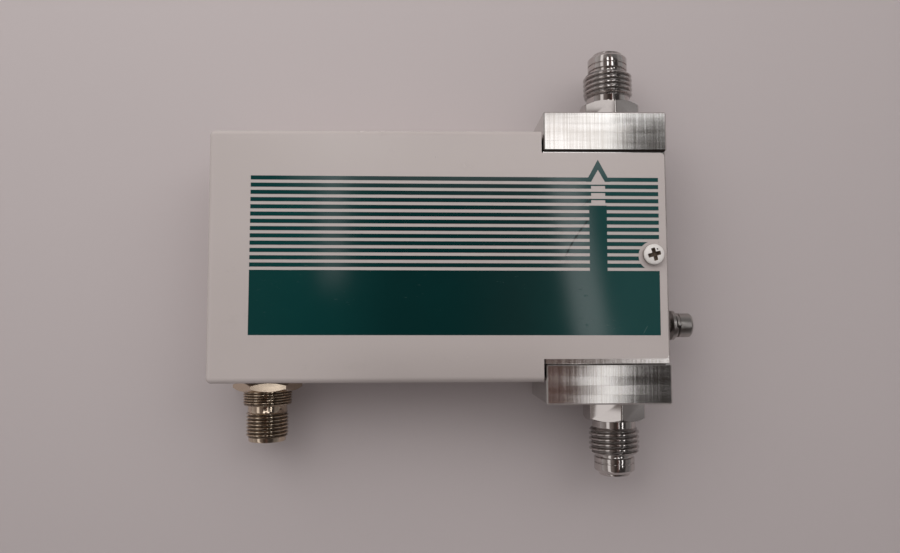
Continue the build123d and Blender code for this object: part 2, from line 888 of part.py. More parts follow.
def make_chassis():
    near_x = top_x + chassis_overlap
    far_x = mounting_x - chassis_height
    with BuildPart() as chassis:
        with BuildSketch(Plane.XY.offset(chassis_z)):
            with Locations(((near_x + far_x) / 2, cover_offset)):
                RectangleRounded(near_x - far_x, chassis_length, board_corner_radius)
        extrude(amount=chassis_thickness)
        with Locations(*[Location((x, y, chassis_z), (180, 0, 0)) for x, y in chassis_screw_points]):
            CounterSinkHole(
                m2_radius + shank_clearance,
                m2_sink_radius + fit_clearance,
                2 * chassis_thickness,
                countersink_angle,
            )
        plate_top = chassis_z + chassis_thickness
        with Locations(*[(x, y, plate_top) for x, y in bus_holes + long_standoff_points]):
            Hole(standoff_stud_radius + fit_clearance, depth=2 * chassis_thickness)
    return chassis.part


def make_standoff(bottom, top, stud):
    """Hexagonal spacer along Z with a stud below and a tapped hole above."""
    with BuildPart() as standoff:
        with BuildSketch(Plane.XY.offset(bottom)):
            RegularPolygon(standoff_flats / 2, 6, major_radius=False)
        extrude(amount=top - bottom)
        with BuildSketch(Plane.XY.offset(bottom)):
            Circle(standoff_stud_radius)
        extrude(amount=-stud)
        with Locations((0, 0, top)):
            Hole(standoff_stud_radius + fit_clearance, depth=stud_length)
    return standoff.part


def make_board(bottom, length, middle_y, holes):
    with BuildPart() as board:
        with BuildSketch(Plane.XY.offset(bottom)):
            with Locations((board_x, middle_y)):
                RectangleRounded(board_length_x, length, board_corner_radius)
            with Locations(*holes):
                Circle(standoff_stud_radius + shank_clearance, mode=Mode.SUBTRACT)
        extrude(amount=board_thickness)
    return board.part


def make_lead_header(x, y, along_y):
    """Small wire header on the bus board, with a shroud wall round its pins."""
    size = (header_width, header_depth) if along_y else (header_depth, header_width)
    with BuildPart() as header:
        with BuildSketch(Plane.XY.offset(bus_board_top)):
            with Locations((x, y)):
                Rectangle(*size)
        extrude(amount=header_height)
        with BuildSketch(Plane.XY.offset(bus_board_top + header_height)):
            with Locations((x, y)):
                Rectangle(size[0] - 2 * header_wall, size[1] - 2 * header_wall)
        extrude(amount=-header_recess, mode=Mode.SUBTRACT)
    return header.part


def make_connector_shell():
    """Turned shell: inner flange, panel thread, neck, coupling thread, lip."""

    def at(radius, distance):
        return (connector_x + radius, cover_inlet_y - distance)

    axis = Axis((connector_x, 0, connector_z), (0, 1, 0))
    inside = -sheet - shell_flange_thickness
    rear = -shell_rear_length
    with BuildPart() as shell:
        with BuildSketch(Plane.XY.offset(connector_z)):
            with BuildLine():
                Polyline(
                    at(shell_bore_radius, rear),
                    at(shell_rear_radius, rear),
                    at(shell_rear_radius, inside),
                    at(shell_flange_radius, inside),
                    at(shell_flange_radius, -sheet),
                    at(panel_thread_radius, -sheet),
                    at(panel_thread_radius, panel_thread_length - shell_chamfer),
                    at(panel_thread_radius - shell_chamfer, panel_thread_length),
                    at(shell_neck_radius, panel_thread_length),
                    at(shell_neck_radius, coupling_start),
                    at(coupling_radius, coupling_start),
                    at(coupling_radius, coupling_end),
                    at(shell_lip_radius, coupling_end + shell_chamfer),
                    at(shell_lip_radius, shell_length - shell_chamfer),
                    at(shell_lip_radius - shell_chamfer, shell_length),
                    at(shell_bore_radius, shell_length),
                    close=True,
                )
            make_face()
        revolve(axis=axis)
        with BuildSketch(across_gas(cover_inlet_y - shell_length, -1, connector_x, connector_z)):
            with Locations((0, shell_bore_radius)):
                Rectangle(key_width, 2 * key_depth)
        extrude(amount=-socket_depth, mode=Mode.SUBTRACT)
    return shell.part


def make_connector_insert():
    front = cover_inlet_y - shell_length + socket_depth
    rear = cover_inlet_y + shell_rear_length
    pins = pin_places()
    with BuildPart() as insert:
        with BuildSketch(across_gas(front, 1, connector_x, connector_z)):
            Circle(shell_bore_radius - fit_clearance)
            with Locations(*pins):
                Circle(pin_radius + pin_clearance, mode=Mode.SUBTRACT)
        extrude(amount=rear - front - pin_tail)
    return insert.part


def pin_places():
    """Four pins on a circle and one in the middle."""
    with BuildSketch() as layout:
        with PolarLocations(pin_circle_radius, 4, start_angle=pin_turn):
            Circle(pin_radius)
        Circle(pin_radius)
    return [(face.center().X, face.center().Y) for face in layout.faces()]


def make_connector_pins():
    front = cover_inlet_y - shell_length + socket_depth
    rear = cover_inlet_y + shell_rear_length
    with BuildPart() as pins:
        with BuildSketch(across_gas(front - pin_length, 1, connector_x, connector_z)):
            with Locations(*pin_places()):
                Circle(pin_radius)
        extrude(amount=rear - front + pin_length)
        fillet(pins.edges().group_by(Axis.Y)[0], pin_radius * 0.6)
    return pins.part


def make_panel_nut():
    """Thin hexagon nut with its corners turned off on both faces."""
    low = gasket_thickness
    high = gasket_thickness + panel_nut_thickness
    corner_radius = panel_nut_flats - panel_nut_face_inset

    def at(radius, distance):
        return (connector_x + radius, cover_inlet_y - distance)

    with BuildPart() as nut:
        with BuildSketch(across_gas(cover_inlet_y - low, -1, connector_x, connector_z)):
            RegularPolygon(panel_nut_flats / 2, 6, major_radius=False, rotation=panel_nut_turn)
            Circle(panel_thread_radius + fit_clearance, mode=Mode.SUBTRACT)
        extrude(amount=panel_nut_thickness)
        for face, towards in ((low, 1), (high, -1)):
            with BuildSketch(Plane.XY.offset(connector_z)):
                with BuildLine():
                    Polyline(
                        at(panel_nut_flats / 2 - panel_nut_face_inset, face),
                        at(corner_radius, face),
                        at(corner_radius, face + towards * panel_nut_corner_drop),
                        close=True,
                    )
                make_face()
            revolve(axis=Axis((connector_x, 0, connector_z), (0, 1, 0)), mode=Mode.SUBTRACT)
    return nut.part


def make_spring_washer(plane):
    with BuildPart() as washer:
        with BuildSketch(plane):
            Circle(spring_washer_radius)
            Circle(m4_radius + shank_clearance, mode=Mode.SUBTRACT)
            with Locations((0, spring_washer_radius)):
                Rectangle(
                    spring_washer_slit,
                    2 * spring_washer_radius - m4_radius,
                    rotation=spring_washer_slant,
                    mode=Mode.SUBTRACT,
                )
        extrude(amount=spring_washer_thickness)
    return washer.part


os.makedirs("parts", exist_ok=True)

# Cover and its screws
finish(make_cover(), "cover")
front_screw = pan_screw(m3_radius, m3_pan_radius, m3_pan_height, cover_screw_length)
front_place = Location((*cover_screw_point, body_width))
finish(at_each(front_screw, [front_place]), "cover_screw_front")
back_screw = countersunk_screw(m3_radius, m3_sink_radius, cover_screw_length)
back_place = Location((*cover_screw_point, 0), (180, 0, 0))
finish(at_each(back_screw, [back_place]), "cover_screw_back")

# Gas path: base body, end blocks, fittings, seals and bypass
finish(make_base_body(), "base_body")
block_screw = socket_screw(
    m3_radius, m3_head_radius, m3_head_height, m3_socket, block_screw_length
)
for name, side, hex_turn in (("inlet", -1, inlet_hex_turn), ("outlet", 1, outlet_hex_turn)):
    finish(make_end_block(side), f"{name}_block")
    finish(make_fitting(side, hex_turn), f"{name}_fitting")
    seal_plane = across_gas(side * block_inner_y, side)
    finish(ring(seal_plane, seal_outer_radius, seal_inner_radius, seal_thickness), f"{name}_seal")
    under_head = side * (block_outer_y - block_counterbore)
    places = [across_gas(under_head, side, x, z) for x, z in block_screw_places]
    finish(at_each(block_screw, places), f"{name}_block_screws")
finish(make_bypass(), "bypass_element")

# Valve
finish(make_seat_holder(), "seat_holder")
finish(make_valve_seat(), "valve_seat")
finish(make_diaphragm(), "diaphragm")
finish(make_diaphragm_clamp(), "diaphragm_clamp")
finish(make_bonnet(), "valve_bonnet")
finish(make_actuator_case(), "actuator_case")
finish(make_disc_springs(), "disc_springs")
finish(make_bridge(), "actuator_bridge")
finish(make_piezo_stack(), "piezo_stack")
bearing_plane = above_base(bearing_level, valve_y)
thrust_bearing = ring(bearing_plane, piezo_radius, nut_bore_radius, bearing_height)
finish(thrust_bearing, "thrust_bearing")
nut_level = bearing_level + bearing_height
finish(make_slotted_nut(nut_level, nut_bore_radius), "adjusting_nut")
lock_nut_level = nut_level + nut_height
finish(make_slotted_nut(lock_nut_level, lock_nut_bore_radius), "lock_nut")
finish(make_valve_housing(), "valve_housing")
finish(make_valve_cap(), "valve_cap")
bonnet_screw = socket_screw(
    m3_radius, m3_head_radius, m3_head_height, m3_socket, bonnet_screw_length
)
bonnet_level = bonnet_thickness + housing_flange
places = [above_base(bonnet_level, y, z) for y, z in bonnet_screw_places]
finish(at_each(bonnet_screw, places), "bonnet_screws")

# Flow sensor
finish(make_sensor_body(), "sensor_body")
seal_ring = ring(Plane.XY, sensor_seal_radius, sensor_port_radius + 0.4, sensor_seal_thickness)
places = [above_base(-sensor_seal_thickness, y) for y in sensor_port_places]
finish(at_each(seal_ring, places), "sensor_seals")
sensor_screw = socket_screw(
    m25_radius, m25_head_radius, m25_head_height, m25_socket, sensor_screw_length
)
places = [above_base(sensor_thickness, y, z) for y, z in sensor_screw_places]
finish(at_each(sensor_screw, places), "sensor_screws")
finish(make_capillary(), "sensor_capillary")
finish(make_windings(), "sensor_windings")
finish(make_sensor_housing(), "sensor_housing")

# Chassis plate and boards
finish(make_chassis(), "chassis_plate")
chassis_screw = countersunk_screw(m2_radius, m2_sink_radius, chassis_screw_length)
places = [Location((x, y, chassis_z), (180, 0, 0)) for x, y in chassis_screw_points]
finish(at_each(chassis_screw, places), "chassis_screws")
plate_top = chassis_z + chassis_thickness
short_standoff = make_standoff(plate_top, bus_board_z, chassis_thickness)
finish(at_each(short_standoff, bus_holes), "short_standoffs")
middle_standoff = make_standoff(bus_board_top, main_board_z, stud_length)
finish(at_each(middle_standoff, bus_holes), "middle_standoffs")
long_standoff = make_standoff(plate_top, main_board_z, chassis_thickness)
finish(at_each(long_standoff, long_standoff_points), "long_standoffs")
finish(make_board(bus_board_z, bus_board_length, bus_board_y, bus_holes), "bus_board")
main_holes = bus_holes + long_standoff_points
finish(make_board(main_board_z, main_board_length, cover_offset, main_holes), "main_board")
board_screw = pan_screw(m25_radius, m25_head_radius, m25_pan_height, board_screw_length)
places = [Location((x, y, main_board_top)) for x, y in main_holes]
finish(at_each(board_screw, places), "board_screws")

with BuildPart() as board_header:
    with BuildSketch(Plane.XY.offset(bus_board_top)):
        with Locations((board_x, bus_hole_rows[0] + board_header_inset)):
            Rectangle(board_header_length, board_header_width)
    extrude(amount=main_board_z - bus_board_top)
finish(board_header.part, "board_header")

with BuildPart() as processor_chip:
    with BuildSketch(Plane.XY.offset(main_board_z)):
        with Locations((board_x, bus_board_y + bus_board_length / 4)):
            Rectangle(chip_size, chip_size)
    extrude(amount=-board_thickness)
    chamfer(processor_chip.edges().group_by(Axis.Z)[0], chip_chamfer)
finish(processor_chip.part, "processor_chip")

coil_point = (board_hole_columns[0] - coil_inset_x, bus_hole_rows[1] - coil_inset_y)
with BuildPart() as booster_coil:
    with BuildSketch(Plane.XY.offset(bus_board_top)):
        with Locations(coil_point):
            Circle(coil_radius)
            Circle(coil_radius / 3, mode=Mode.SUBTRACT)
    extrude(amount=coil_height)
    fillet(booster_coil.edges().group_by(Axis.Z)[-1], coil_radius / 5)
finish(booster_coil.part, "booster_coil")

with BuildPart() as capacitors:
    with BuildSketch(Plane.XY.offset(bus_board_top)):
        with Locations((board_x, bus_hole_rows[1] - capacitor_inset)):
            with GridLocations(capacitor_pitch, 1, capacitor_count, 1):
                Circle(capacitor_radius)
    extrude(amount=capacitor_height)
    fillet(capacitors.edges().group_by(Axis.Z)[-1], capacitor_radius / 8)
finish(capacitors.part, "board_capacitors")

# Leads and the headers they run to
sensor_header_x = mounting_x - board_near_height - header_depth
valve_header_x = mounting_x - valve_header_height
valve_header_y = bus_hole_rows[1] - valve_header_inset
bus_header_y = cover_inlet_y + shell_rear_length + bus_header_distance
sensor_header_y = sensor_y + sensor_header_shift
lead_headers = (
    make_lead_header(connector_x, bus_header_y, True)
    + make_lead_header(sensor_header_x, sensor_header_y, False)
    + make_lead_header(valve_header_x, valve_header_y, True)
)
finish(lead_headers, "lead_headers")

with BuildPart() as bus_leads:
    start = cover_inlet_y + shell_rear_length
    with BuildSketch(across_gas(start, 1, connector_x, connector_z)):
        Circle(bus_lead_radius)
    extrude(amount=bus_header_y - header_depth / 2 - start)
finish(bus_leads.part, "bus_leads")

with BuildPart() as sensor_leads:
    level = sensor_thickness + sensor_housing_height
    end = top_x - sensor_header_x - header_depth / 2
    with BuildSketch(above_base(level, sensor_header_y, connector_z)):
        Circle(lead_radius)
    extrude(amount=end - level)
finish(sensor_leads.part, "sensor_leads")

with BuildPart() as valve_leads:
    lead_level = lock_nut_level + nut_height
    with BuildLine(Plane.XY.offset(axis_z)):
        FilletPolyline(
            (top_x - lead_level, valve_y),
            (valve_header_x, valve_y),
            (valve_header_x, valve_header_y + header_depth / 2),
            radius=lead_bend_radius,
        )
    with BuildSketch(above_base(lead_level, valve_y)):
        Circle(lead_radius)
    sweep()
finish(valve_leads.part, "valve_leads")

# Field-bus receptacle
finish(make_connector_shell(), "connector_shell")
finish(make_connector_insert(), "connector_insert")
finish(make_connector_pins(), "connector_pins")
finish(make_panel_nut(), "panel_nut")
gasket_plane = across_gas(cover_inlet_y, -1, connector_x, connector_z)
gasket_bore = panel_thread_radius + fit_clearance
finish(ring(gasket_plane, gasket_radius, gasket_bore, gasket_thickness), "panel_gasket")

# Mounting screw and its washers
screw_y = -mounting_pitch / 2


def below_mounting(distance):
    return Plane(origin=(mounting_x + distance, screw_y, axis_z), x_dir=(0, 1, 0), z_dir=(1, 0, 0))


spring_level = mounting_standout + flat_washer_thickness
head_level = spring_level + spring_washer_thickness
flat_washer = ring(
    below_mounting(mounting_standout),
    flat_washer_radius,
    m4_radius + shank_clearance,
    flat_washer_thickness,
)
finish(flat_washer, "flat_washer")
finish(make_spring_washer(below_mounting(spring_level)), "spring_washer")
mounting_screw = socket_screw(
    m4_radius, m4_head_radius, m4_head_height, m4_socket, mounting_screw_length
)
finish(at_each(mounting_screw, [below_mounting(head_level)]), "mounting_screw")
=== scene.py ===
import bpy
import bmesh
import json
from math import atan2, cos, radians, sin, tau
from mathutils import Matrix, Vector


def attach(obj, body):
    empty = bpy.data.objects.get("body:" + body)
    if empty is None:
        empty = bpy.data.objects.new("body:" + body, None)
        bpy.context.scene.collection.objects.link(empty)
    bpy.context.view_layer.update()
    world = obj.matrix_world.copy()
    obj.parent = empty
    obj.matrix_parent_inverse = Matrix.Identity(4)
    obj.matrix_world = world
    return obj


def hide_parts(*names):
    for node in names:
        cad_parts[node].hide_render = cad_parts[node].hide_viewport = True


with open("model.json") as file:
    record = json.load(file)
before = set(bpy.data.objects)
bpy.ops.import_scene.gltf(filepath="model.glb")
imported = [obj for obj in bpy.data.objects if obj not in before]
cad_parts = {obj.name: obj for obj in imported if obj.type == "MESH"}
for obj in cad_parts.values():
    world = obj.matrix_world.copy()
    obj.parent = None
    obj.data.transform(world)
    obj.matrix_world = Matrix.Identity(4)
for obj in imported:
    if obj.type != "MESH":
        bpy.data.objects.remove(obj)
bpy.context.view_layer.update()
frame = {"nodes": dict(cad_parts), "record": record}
nodes = frame["nodes"]
mm = 0.001
print("frame loaded:", len(nodes), "nodes")


# shader maths written as Python: a Wire is one output of a node tree

class Wire:
    def __init__(self, tree, socket):
        self.tree = tree
        self.socket = socket

    def __add__(self, other):
        return self.tree.maths("ADD", self, other)

    def __radd__(self, other):
        return self.tree.maths("ADD", other, self)

    def __sub__(self, other):
        return self.tree.maths("SUBTRACT", self, other)

    def __rsub__(self, other):
        return self.tree.maths("SUBTRACT", other, self)

    def __mul__(self, other):
        return self.tree.maths("MULTIPLY", self, other)

    def __rmul__(self, other):
        return self.tree.maths("MULTIPLY", other, self)

    def __truediv__(self, other):
        return self.tree.maths("DIVIDE", self, other)

    def __rtruediv__(self, other):
        return self.tree.maths("DIVIDE", other, self)

    def __gt__(self, other):
        return self.tree.maths("GREATER_THAN", self, other)

    def __lt__(self, other):
        return self.tree.maths("LESS_THAN", self, other)

    def __abs__(self):
        return self.tree.maths("ABSOLUTE", self)


class Tree:
    def __init__(self, tree):
        self.tree = tree
        tree.nodes.clear()

    # settings first, then the values or wires of the sockets
    def node(self, kind, settings=None, sockets=None, out=0):
        node = self.tree.nodes.new(kind)
        for key, value in (settings or {}).items():
            if key == "stops":
                ramp = node.color_ramp
                ramp.elements.remove(ramp.elements[1])
                ramp.elements[0].position, ramp.elements[0].color = value[0]
                for place, colour in value[1:]:
                    ramp.elements.new(place).color = colour
            else:
                setattr(node, key, value)
        for key, value in (sockets or {}).items():
            if isinstance(value, Wire):
                self.tree.links.new(value.socket, node.inputs[key])
            else:
                node.inputs[key].default_value = value
        return Wire(self, node.outputs[out]) if node.outputs else None

    def maths(self, operation, *values):
        return self.node("ShaderNodeMath", {"operation": operation}, dict(enumerate(values)))

    def step(self, value, low, high):
        return self.node("ShaderNodeMapRange", {"interpolation_type": "SMOOTHSTEP"},
                         {"Value": value, "From Min": low, "From Max": high})

    def band(self, value, low, high, soft):
        return self.step(value, low - soft, low + soft) * (1 - self.step(value, high - soft, high + soft))

    def mix(self, factor, first, second):
        return self.node("ShaderNodeMix", {"data_type": "RGBA"}, {"Factor": factor, 6: first, 7: second},
                         out=2)

    def place(self):
        return self.node("ShaderNodeTexCoord", out="Object")

    def axes(self, vector):
        split = self.node("ShaderNodeSeparateXYZ", sockets={0: vector}).socket.node
        return [Wire(self, socket) for socket in split.outputs]

    def stretch(self, vector, scale, location=(0, 0, 0)):
        return self.node("ShaderNodeMapping", sockets={"Vector": vector, "Scale": scale,
                                                       "Location": location})

    def noise(self, vector, scale, detail=3.0, rough=0.5):
        return self.node("ShaderNodeTexNoise", sockets={"Vector": vector, "Scale": scale, "Detail": detail,
                                                        "Roughness": rough})


def rgb(*colour):
    return (*colour, 1.0)


def finish(name, build):
    material = bpy.data.materials.new(name)
    material.use_nodes = True
    tree = Tree(material.node_tree)
    shader = build(tree)
    tree.node("ShaderNodeOutputMaterial", sockets={"Surface": shader})
    return material


# a shader with the constants on its own sockets and the drawn values linked in
def surface(tree, colour, roughness, height=None, depth=1e-6, **constants):
    sockets = {"Base Color": colour, "Roughness": roughness}
    if height is not None:
        sockets["Normal"] = tree.node("ShaderNodeBump", sockets={"Strength": 1.0, "Distance": depth,
                                                                 "Height": height})
    sockets.update({key.replace("_", " "): value for key, value in constants.items()})
    return tree.node("ShaderNodeBsdfPrincipled", sockets=sockets)


# camera, floor and light

cameraView = {"lens": 28.371, "sensor": 36.0, "place": (-0.052913, -0.018469, 0.221637),
              "turn": (3.841, -1.497, -0.193)}

lens = bpy.data.cameras.new("camera")
lens.lens = cameraView["lens"]
lens.sensor_width = cameraView["sensor"]
lens.sensor_fit = "HORIZONTAL"
lens.clip_start = 0.01
camera = bpy.data.objects.new("camera", lens)
camera.location = cameraView["place"]
camera.rotation_euler = [radians(angle) for angle in cameraView["turn"]]
bpy.context.scene.collection.objects.link(camera)
bpy.context.scene.camera = camera
bpy.context.scene.view_settings.view_transform = "Standard"

studio = {
    "floorColour": (0.61, 0.548, 0.548), "floorSize": 6.0,
    "background": (0.62, 0.59, 0.58), "ambient": (0.258, 0.245, 0.245),
    "lamps": [
        {"place": (-0.40, 0.30, 0.44), "size": 0.50, "power": 0.77},
        {"place": (0.50, 0.38, 0.66), "size": 0.50, "power": 0.91},
        {"place": (-0.10, 0.24, 0.33), "size": 0.50, "power": 0.70},
    ],
}


def floorShader(tree):
    place = tree.place()
    cloud = tree.noise(place, 7.0, 2.0)
    grit = tree.noise(place, 900.0, 2.0)
    low = [value * 0.97 for value in studio["floorColour"]]
    high = [value * 1.03 for value in studio["floorColour"]]
    colour = tree.mix(cloud * 0.7 + grit * 0.3, rgb(*low), rgb(*high))
    return surface(tree, colour, 0.62 + grit * 0.1, grit, 4e-6)


bpy.ops.object.select_all(action="DESELECT")
bpy.ops.mesh.primitive_plane_add(size=studio["floorSize"], location=(0, 0, 0))
floor = bpy.context.object
floor.name = "floor"
floor.data.materials.append(finish("floorFinish", floorShader))

for number, lamp in enumerate(studio["lamps"]):
    light = bpy.data.lights.new(f"lamp{number}", "AREA")
    light.shape = "SQUARE"
    light.size = lamp["size"]
    light.energy = lamp["power"]
    light.color = (1.0, 0.985, 0.97)
    holder = bpy.data.objects.new(f"lamp{number}", light)
    holder.location = lamp["place"]
    holder.rotation_euler = (Vector((-0.04, 0, 0)) - holder.location).to_track_quat("-Z", "Y").to_euler()
    holder.visible_glossy = False
    bpy.context.scene.collection.objects.link(holder)


# what the metal mirrors: dark overhead, lamp strips and pale walls, by direction
def studioWorld(tree):
    x, y, z = tree.axes(tree.node("ShaderNodeTexCoord", out="Generated"))
    lift = tree.maths("MAXIMUM", z, 0.02)
    across = x / lift
    along = y / lift
    turn = tree.maths("ARCTAN2", x, lift) / tau + 0.5
    walls = tree.node("ShaderNodeValToRGB", {"stops": [
        (0.250, rgb(0.42, 0.40, 0.40)), (0.292, rgb(0.36, 0.33, 0.32)), (0.347, rgb(0.24, 0.21, 0.20)),
        (0.405, rgb(0.22, 0.19, 0.18)), (0.445, rgb(0.16, 0.13, 0.12)), (0.470, rgb(0.06, 0.048, 0.042)),
        (0.505, rgb(0.05, 0.036, 0.032)), (0.520, rgb(0.15, 0.085, 0.075)), (0.532, rgb(0.12, 0.08, 0.07)),
        (0.545, rgb(0.05, 0.045, 0.043)),
        (0.635, rgb(0.05, 0.045, 0.045)), (0.655, rgb(0.20, 0.185, 0.18)), (0.708, rgb(0.18, 0.17, 0.17)),
        (0.750, rgb(0.30, 0.29, 0.29))]}, {0: turn})
    slant = across - (0.204 + 0.16 * (0.12 - along))
    nearStrip = tree.band(slant, -0.020, 0.024, 0.008) * tree.band(along, -0.03, 0.208, 0.010) * 2.2
    lowStrip = ((tree.band(across, 0.224, 0.268, 0.009) * 1.36
                 + tree.band(across, 0.208, 0.23, 0.010) * 0.3)
                * tree.band(along, -0.42, -0.035, 0.012))
    leftStrip = tree.band(across, -0.156, -0.122, 0.012) * tree.band(along, 0.06, 0.3, 0.03) * 1.1
    rightStrip = tree.band(across, 0.60, 0.70, 0.012) * tree.band(along, -0.34, 0.309, 0.003) * 2.8
    backWall = tree.step(along, 0.50, 0.75) * 0.14
    topPanel = tree.band(across, -0.20, 0.278, 0.012) * tree.band(along, 0.208, 0.3085, 0.003) * 1.53
    endStrips = ((tree.band(across, -0.24, -0.08, 0.012) + tree.band(across, 0.22, 0.39, 0.012))
                 * tree.band(along, 0.309, 0.6, 0.003) * 2.4)
    rightPatch = tree.band(across, 0.26, 0.46, 0.02) * (tree.band(along, -0.03, 0.6, 0.03) * 0.10
                                                        + tree.band(along, -0.03, 0.21, 0.02) * 0.16)
    farPatch = tree.band(across, -1.30, -0.74, 0.06) * 0.72
    lamps = (nearStrip + lowStrip + leftStrip + rightStrip + rightPatch + topPanel + endStrips + farPatch
             + backWall) * (z > 0)
    mirrored = tree.node("ShaderNodeMix", {"data_type": "RGBA", "blend_type": "ADD"},
                         {"Factor": 1.0, 6: walls, 7: lamps}, out=2)
    ray = tree.node("ShaderNodeLightPath").socket.node
    seen = Wire(tree, ray.outputs["Is Camera Ray"])
    glossy = Wire(tree, ray.outputs["Is Glossy Ray"])
    colour = tree.mix(glossy, rgb(*studio["ambient"]), mirrored)
    colour = tree.mix(seen, colour, rgb(*studio["background"]))
    return tree.node("ShaderNodeBackground", sockets={"Color": colour, "Strength": 1.0})


world = bpy.data.worlds.new("studio")
bpy.context.scene.world = world
world.use_nodes = True
worldTree = Tree(world.node_tree)
worldTree.node("ShaderNodeOutputWorld", sockets={"Surface": studioWorld(worldTree)})
print("camera, floor and lamps set")


# finishes

# places that several finishes and pieces share, in mm: the gas line's height, half the pitch of the two
# mounting holes, the mounting face, and how far the cover sits towards the outlet
axisHeight = 14.3
holeSide = 19.05
mountingFace = 12.7
coverOffset = 0.4

gasLine = Vector((0, 0, axisHeight)) * mm
socketLine = Vector((-100.6, 0, 11.8)) * mm
valveLine = Vector((0, 14.0, axisHeight)) * mm
screwSpot = Vector((8.05, coverOffset, 28.6)) * mm


# a hair scratch in two bits, over the print and hardly seen on the paint
def scratch(tree, x, y):
    lower = x + 0.0161 - y * 0.47 - y * y * 17
    upper = x + 0.01127 - (y - 0.0139) * 1.21
    fine = (1 - tree.step(abs(lower), 0.00010, 0.00030)) * tree.band(y, 0.0, 0.0102, 0.0003)
    return fine + (1 - tree.step(abs(upper), 0.00010, 0.00028)) * tree.band(y, 0.0137, 0.0160, 0.0002)


paint = {"colour": (0.63, 0.565, 0.545), "shade": (0.592, 0.528, 0.508), "roughness": 0.22}


def paintShader(tree):
    place = tree.place()
    x, y, z = tree.axes(place)
    nx, ny, nz = tree.axes(tree.node("ShaderNodeNewGeometry", out="Normal"))
    cloud = tree.noise(place, 38.0, 3.0)
    peel = tree.noise(place, 1150.0, 2.0)
    smudge = tree.step(tree.noise(tree.stretch(place, (1, 1.6, 1)), 95.0, 5.0, 0.65), 0.60, 0.78)
    speck = tree.step(tree.noise(place, 420.0, 1.0), 0.80, 0.84)
    colour = tree.mix(cloud, rgb(*paint["shade"]), rgb(*paint["colour"]))
    colour = tree.mix(smudge * 0.18, colour, rgb(0.36, 0.32, 0.30))
    colour = tree.mix(speck * 0.35, colour, rgb(0.2, 0.17, 0.15))
    colour = tree.mix(scratch(tree, x, y) * 0.15, colour, rgb(0.09, 0.08, 0.07))
    # painted shade: the sheet is darker towards its lower edge, and the cut ends facing the blocks are
    # painted dark as shade in the gap, and dull
    lowerEdgeShade = (1 - tree.step(y, -0.038, -0.018)) * tree.band(x, -0.078, -0.012, 0.018)
    colour = tree.mix(lowerEdgeShade * 0.72, colour, rgb(0.44, 0.39, 0.375))
    # painted shade on the cut ends, standing in for the shadowed gap beside the blocks
    shadedCutEnd = (abs(ny) > 0.15) * tree.band(abs(y - coverOffset * mm), 0.0278, 0.0288, 0.0001)
    colour = tree.mix(shadedCutEnd * 0.8, colour, rgb(0.07, 0.05, 0.04))
    roughness = paint["roughness"] + (cloud - 0.5) * 0.08 + smudge * 0.1 + shadedCutEnd * 0.5
    return surface(tree, colour, roughness, peel, 3e-6, IOR=1.5)


ink = {"colour": (0.0006, 0.0285, 0.028), "paler": (0.0028, 0.065, 0.062), "roughness": 0.08}


def inkShader(tree):
    place = tree.place()
    x, y, z = tree.axes(place)
    cloud = tree.noise(place, 60.0, 3.0)
    mesh = tree.noise(place, 2400.0, 1.0)
    rub = (tree.step(tree.noise(tree.stretch(place, (0.35, 1.0, 1.0)), 1500.0, 2.0), 0.66, 0.74)
           * tree.step(cloud, 0.5, 0.62))
    # two short light ticks near the end of the band
    tick = abs((x - 0.0058) * 0.86 - (y + 0.0199) * 0.5)
    ticks = (1 - tree.step(tick, 0.00005, 0.00012)) * tree.band(y, -0.0212, -0.0192, 0.0003)
    # the print is paler towards both ends; at the right end the paler green is a painted sheen
    paleEnds = (1 - tree.step(x, -0.090, -0.058)) * 0.62 + tree.step(x, -0.034, 0.004)
    colour = tree.mix(paleEnds * 0.85 + (cloud - 0.5) * 0.3, rgb(*ink["colour"]), rgb(*ink["paler"]))
    colour = tree.mix(rub * 0.25 + ticks * 0.5, colour, rgb(0.10, 0.17, 0.16))
    cut = scratch(tree, x, y)
    colour = tree.mix(cut * 0.9, colour, rgb(0.0008, 0.004, 0.004))
    return surface(tree, colour, ink["roughness"] + (cloud - 0.5) * 0.05 + rub * 0.12 + cut * 0.5,
                   mesh + rub * 0.5, 1.2e-6, IOR=1.5)


# milled faces: feed marks 0.36 mm apart that run across the cutter's travel
milled = {"colour": (0.66, 0.645, 0.63), "dark": (0.47, 0.445, 0.42), "feed": 0.36 * mm, "pass": 2.5 * mm,
          "roughness": 0.09, "thread": 0.7 * mm}


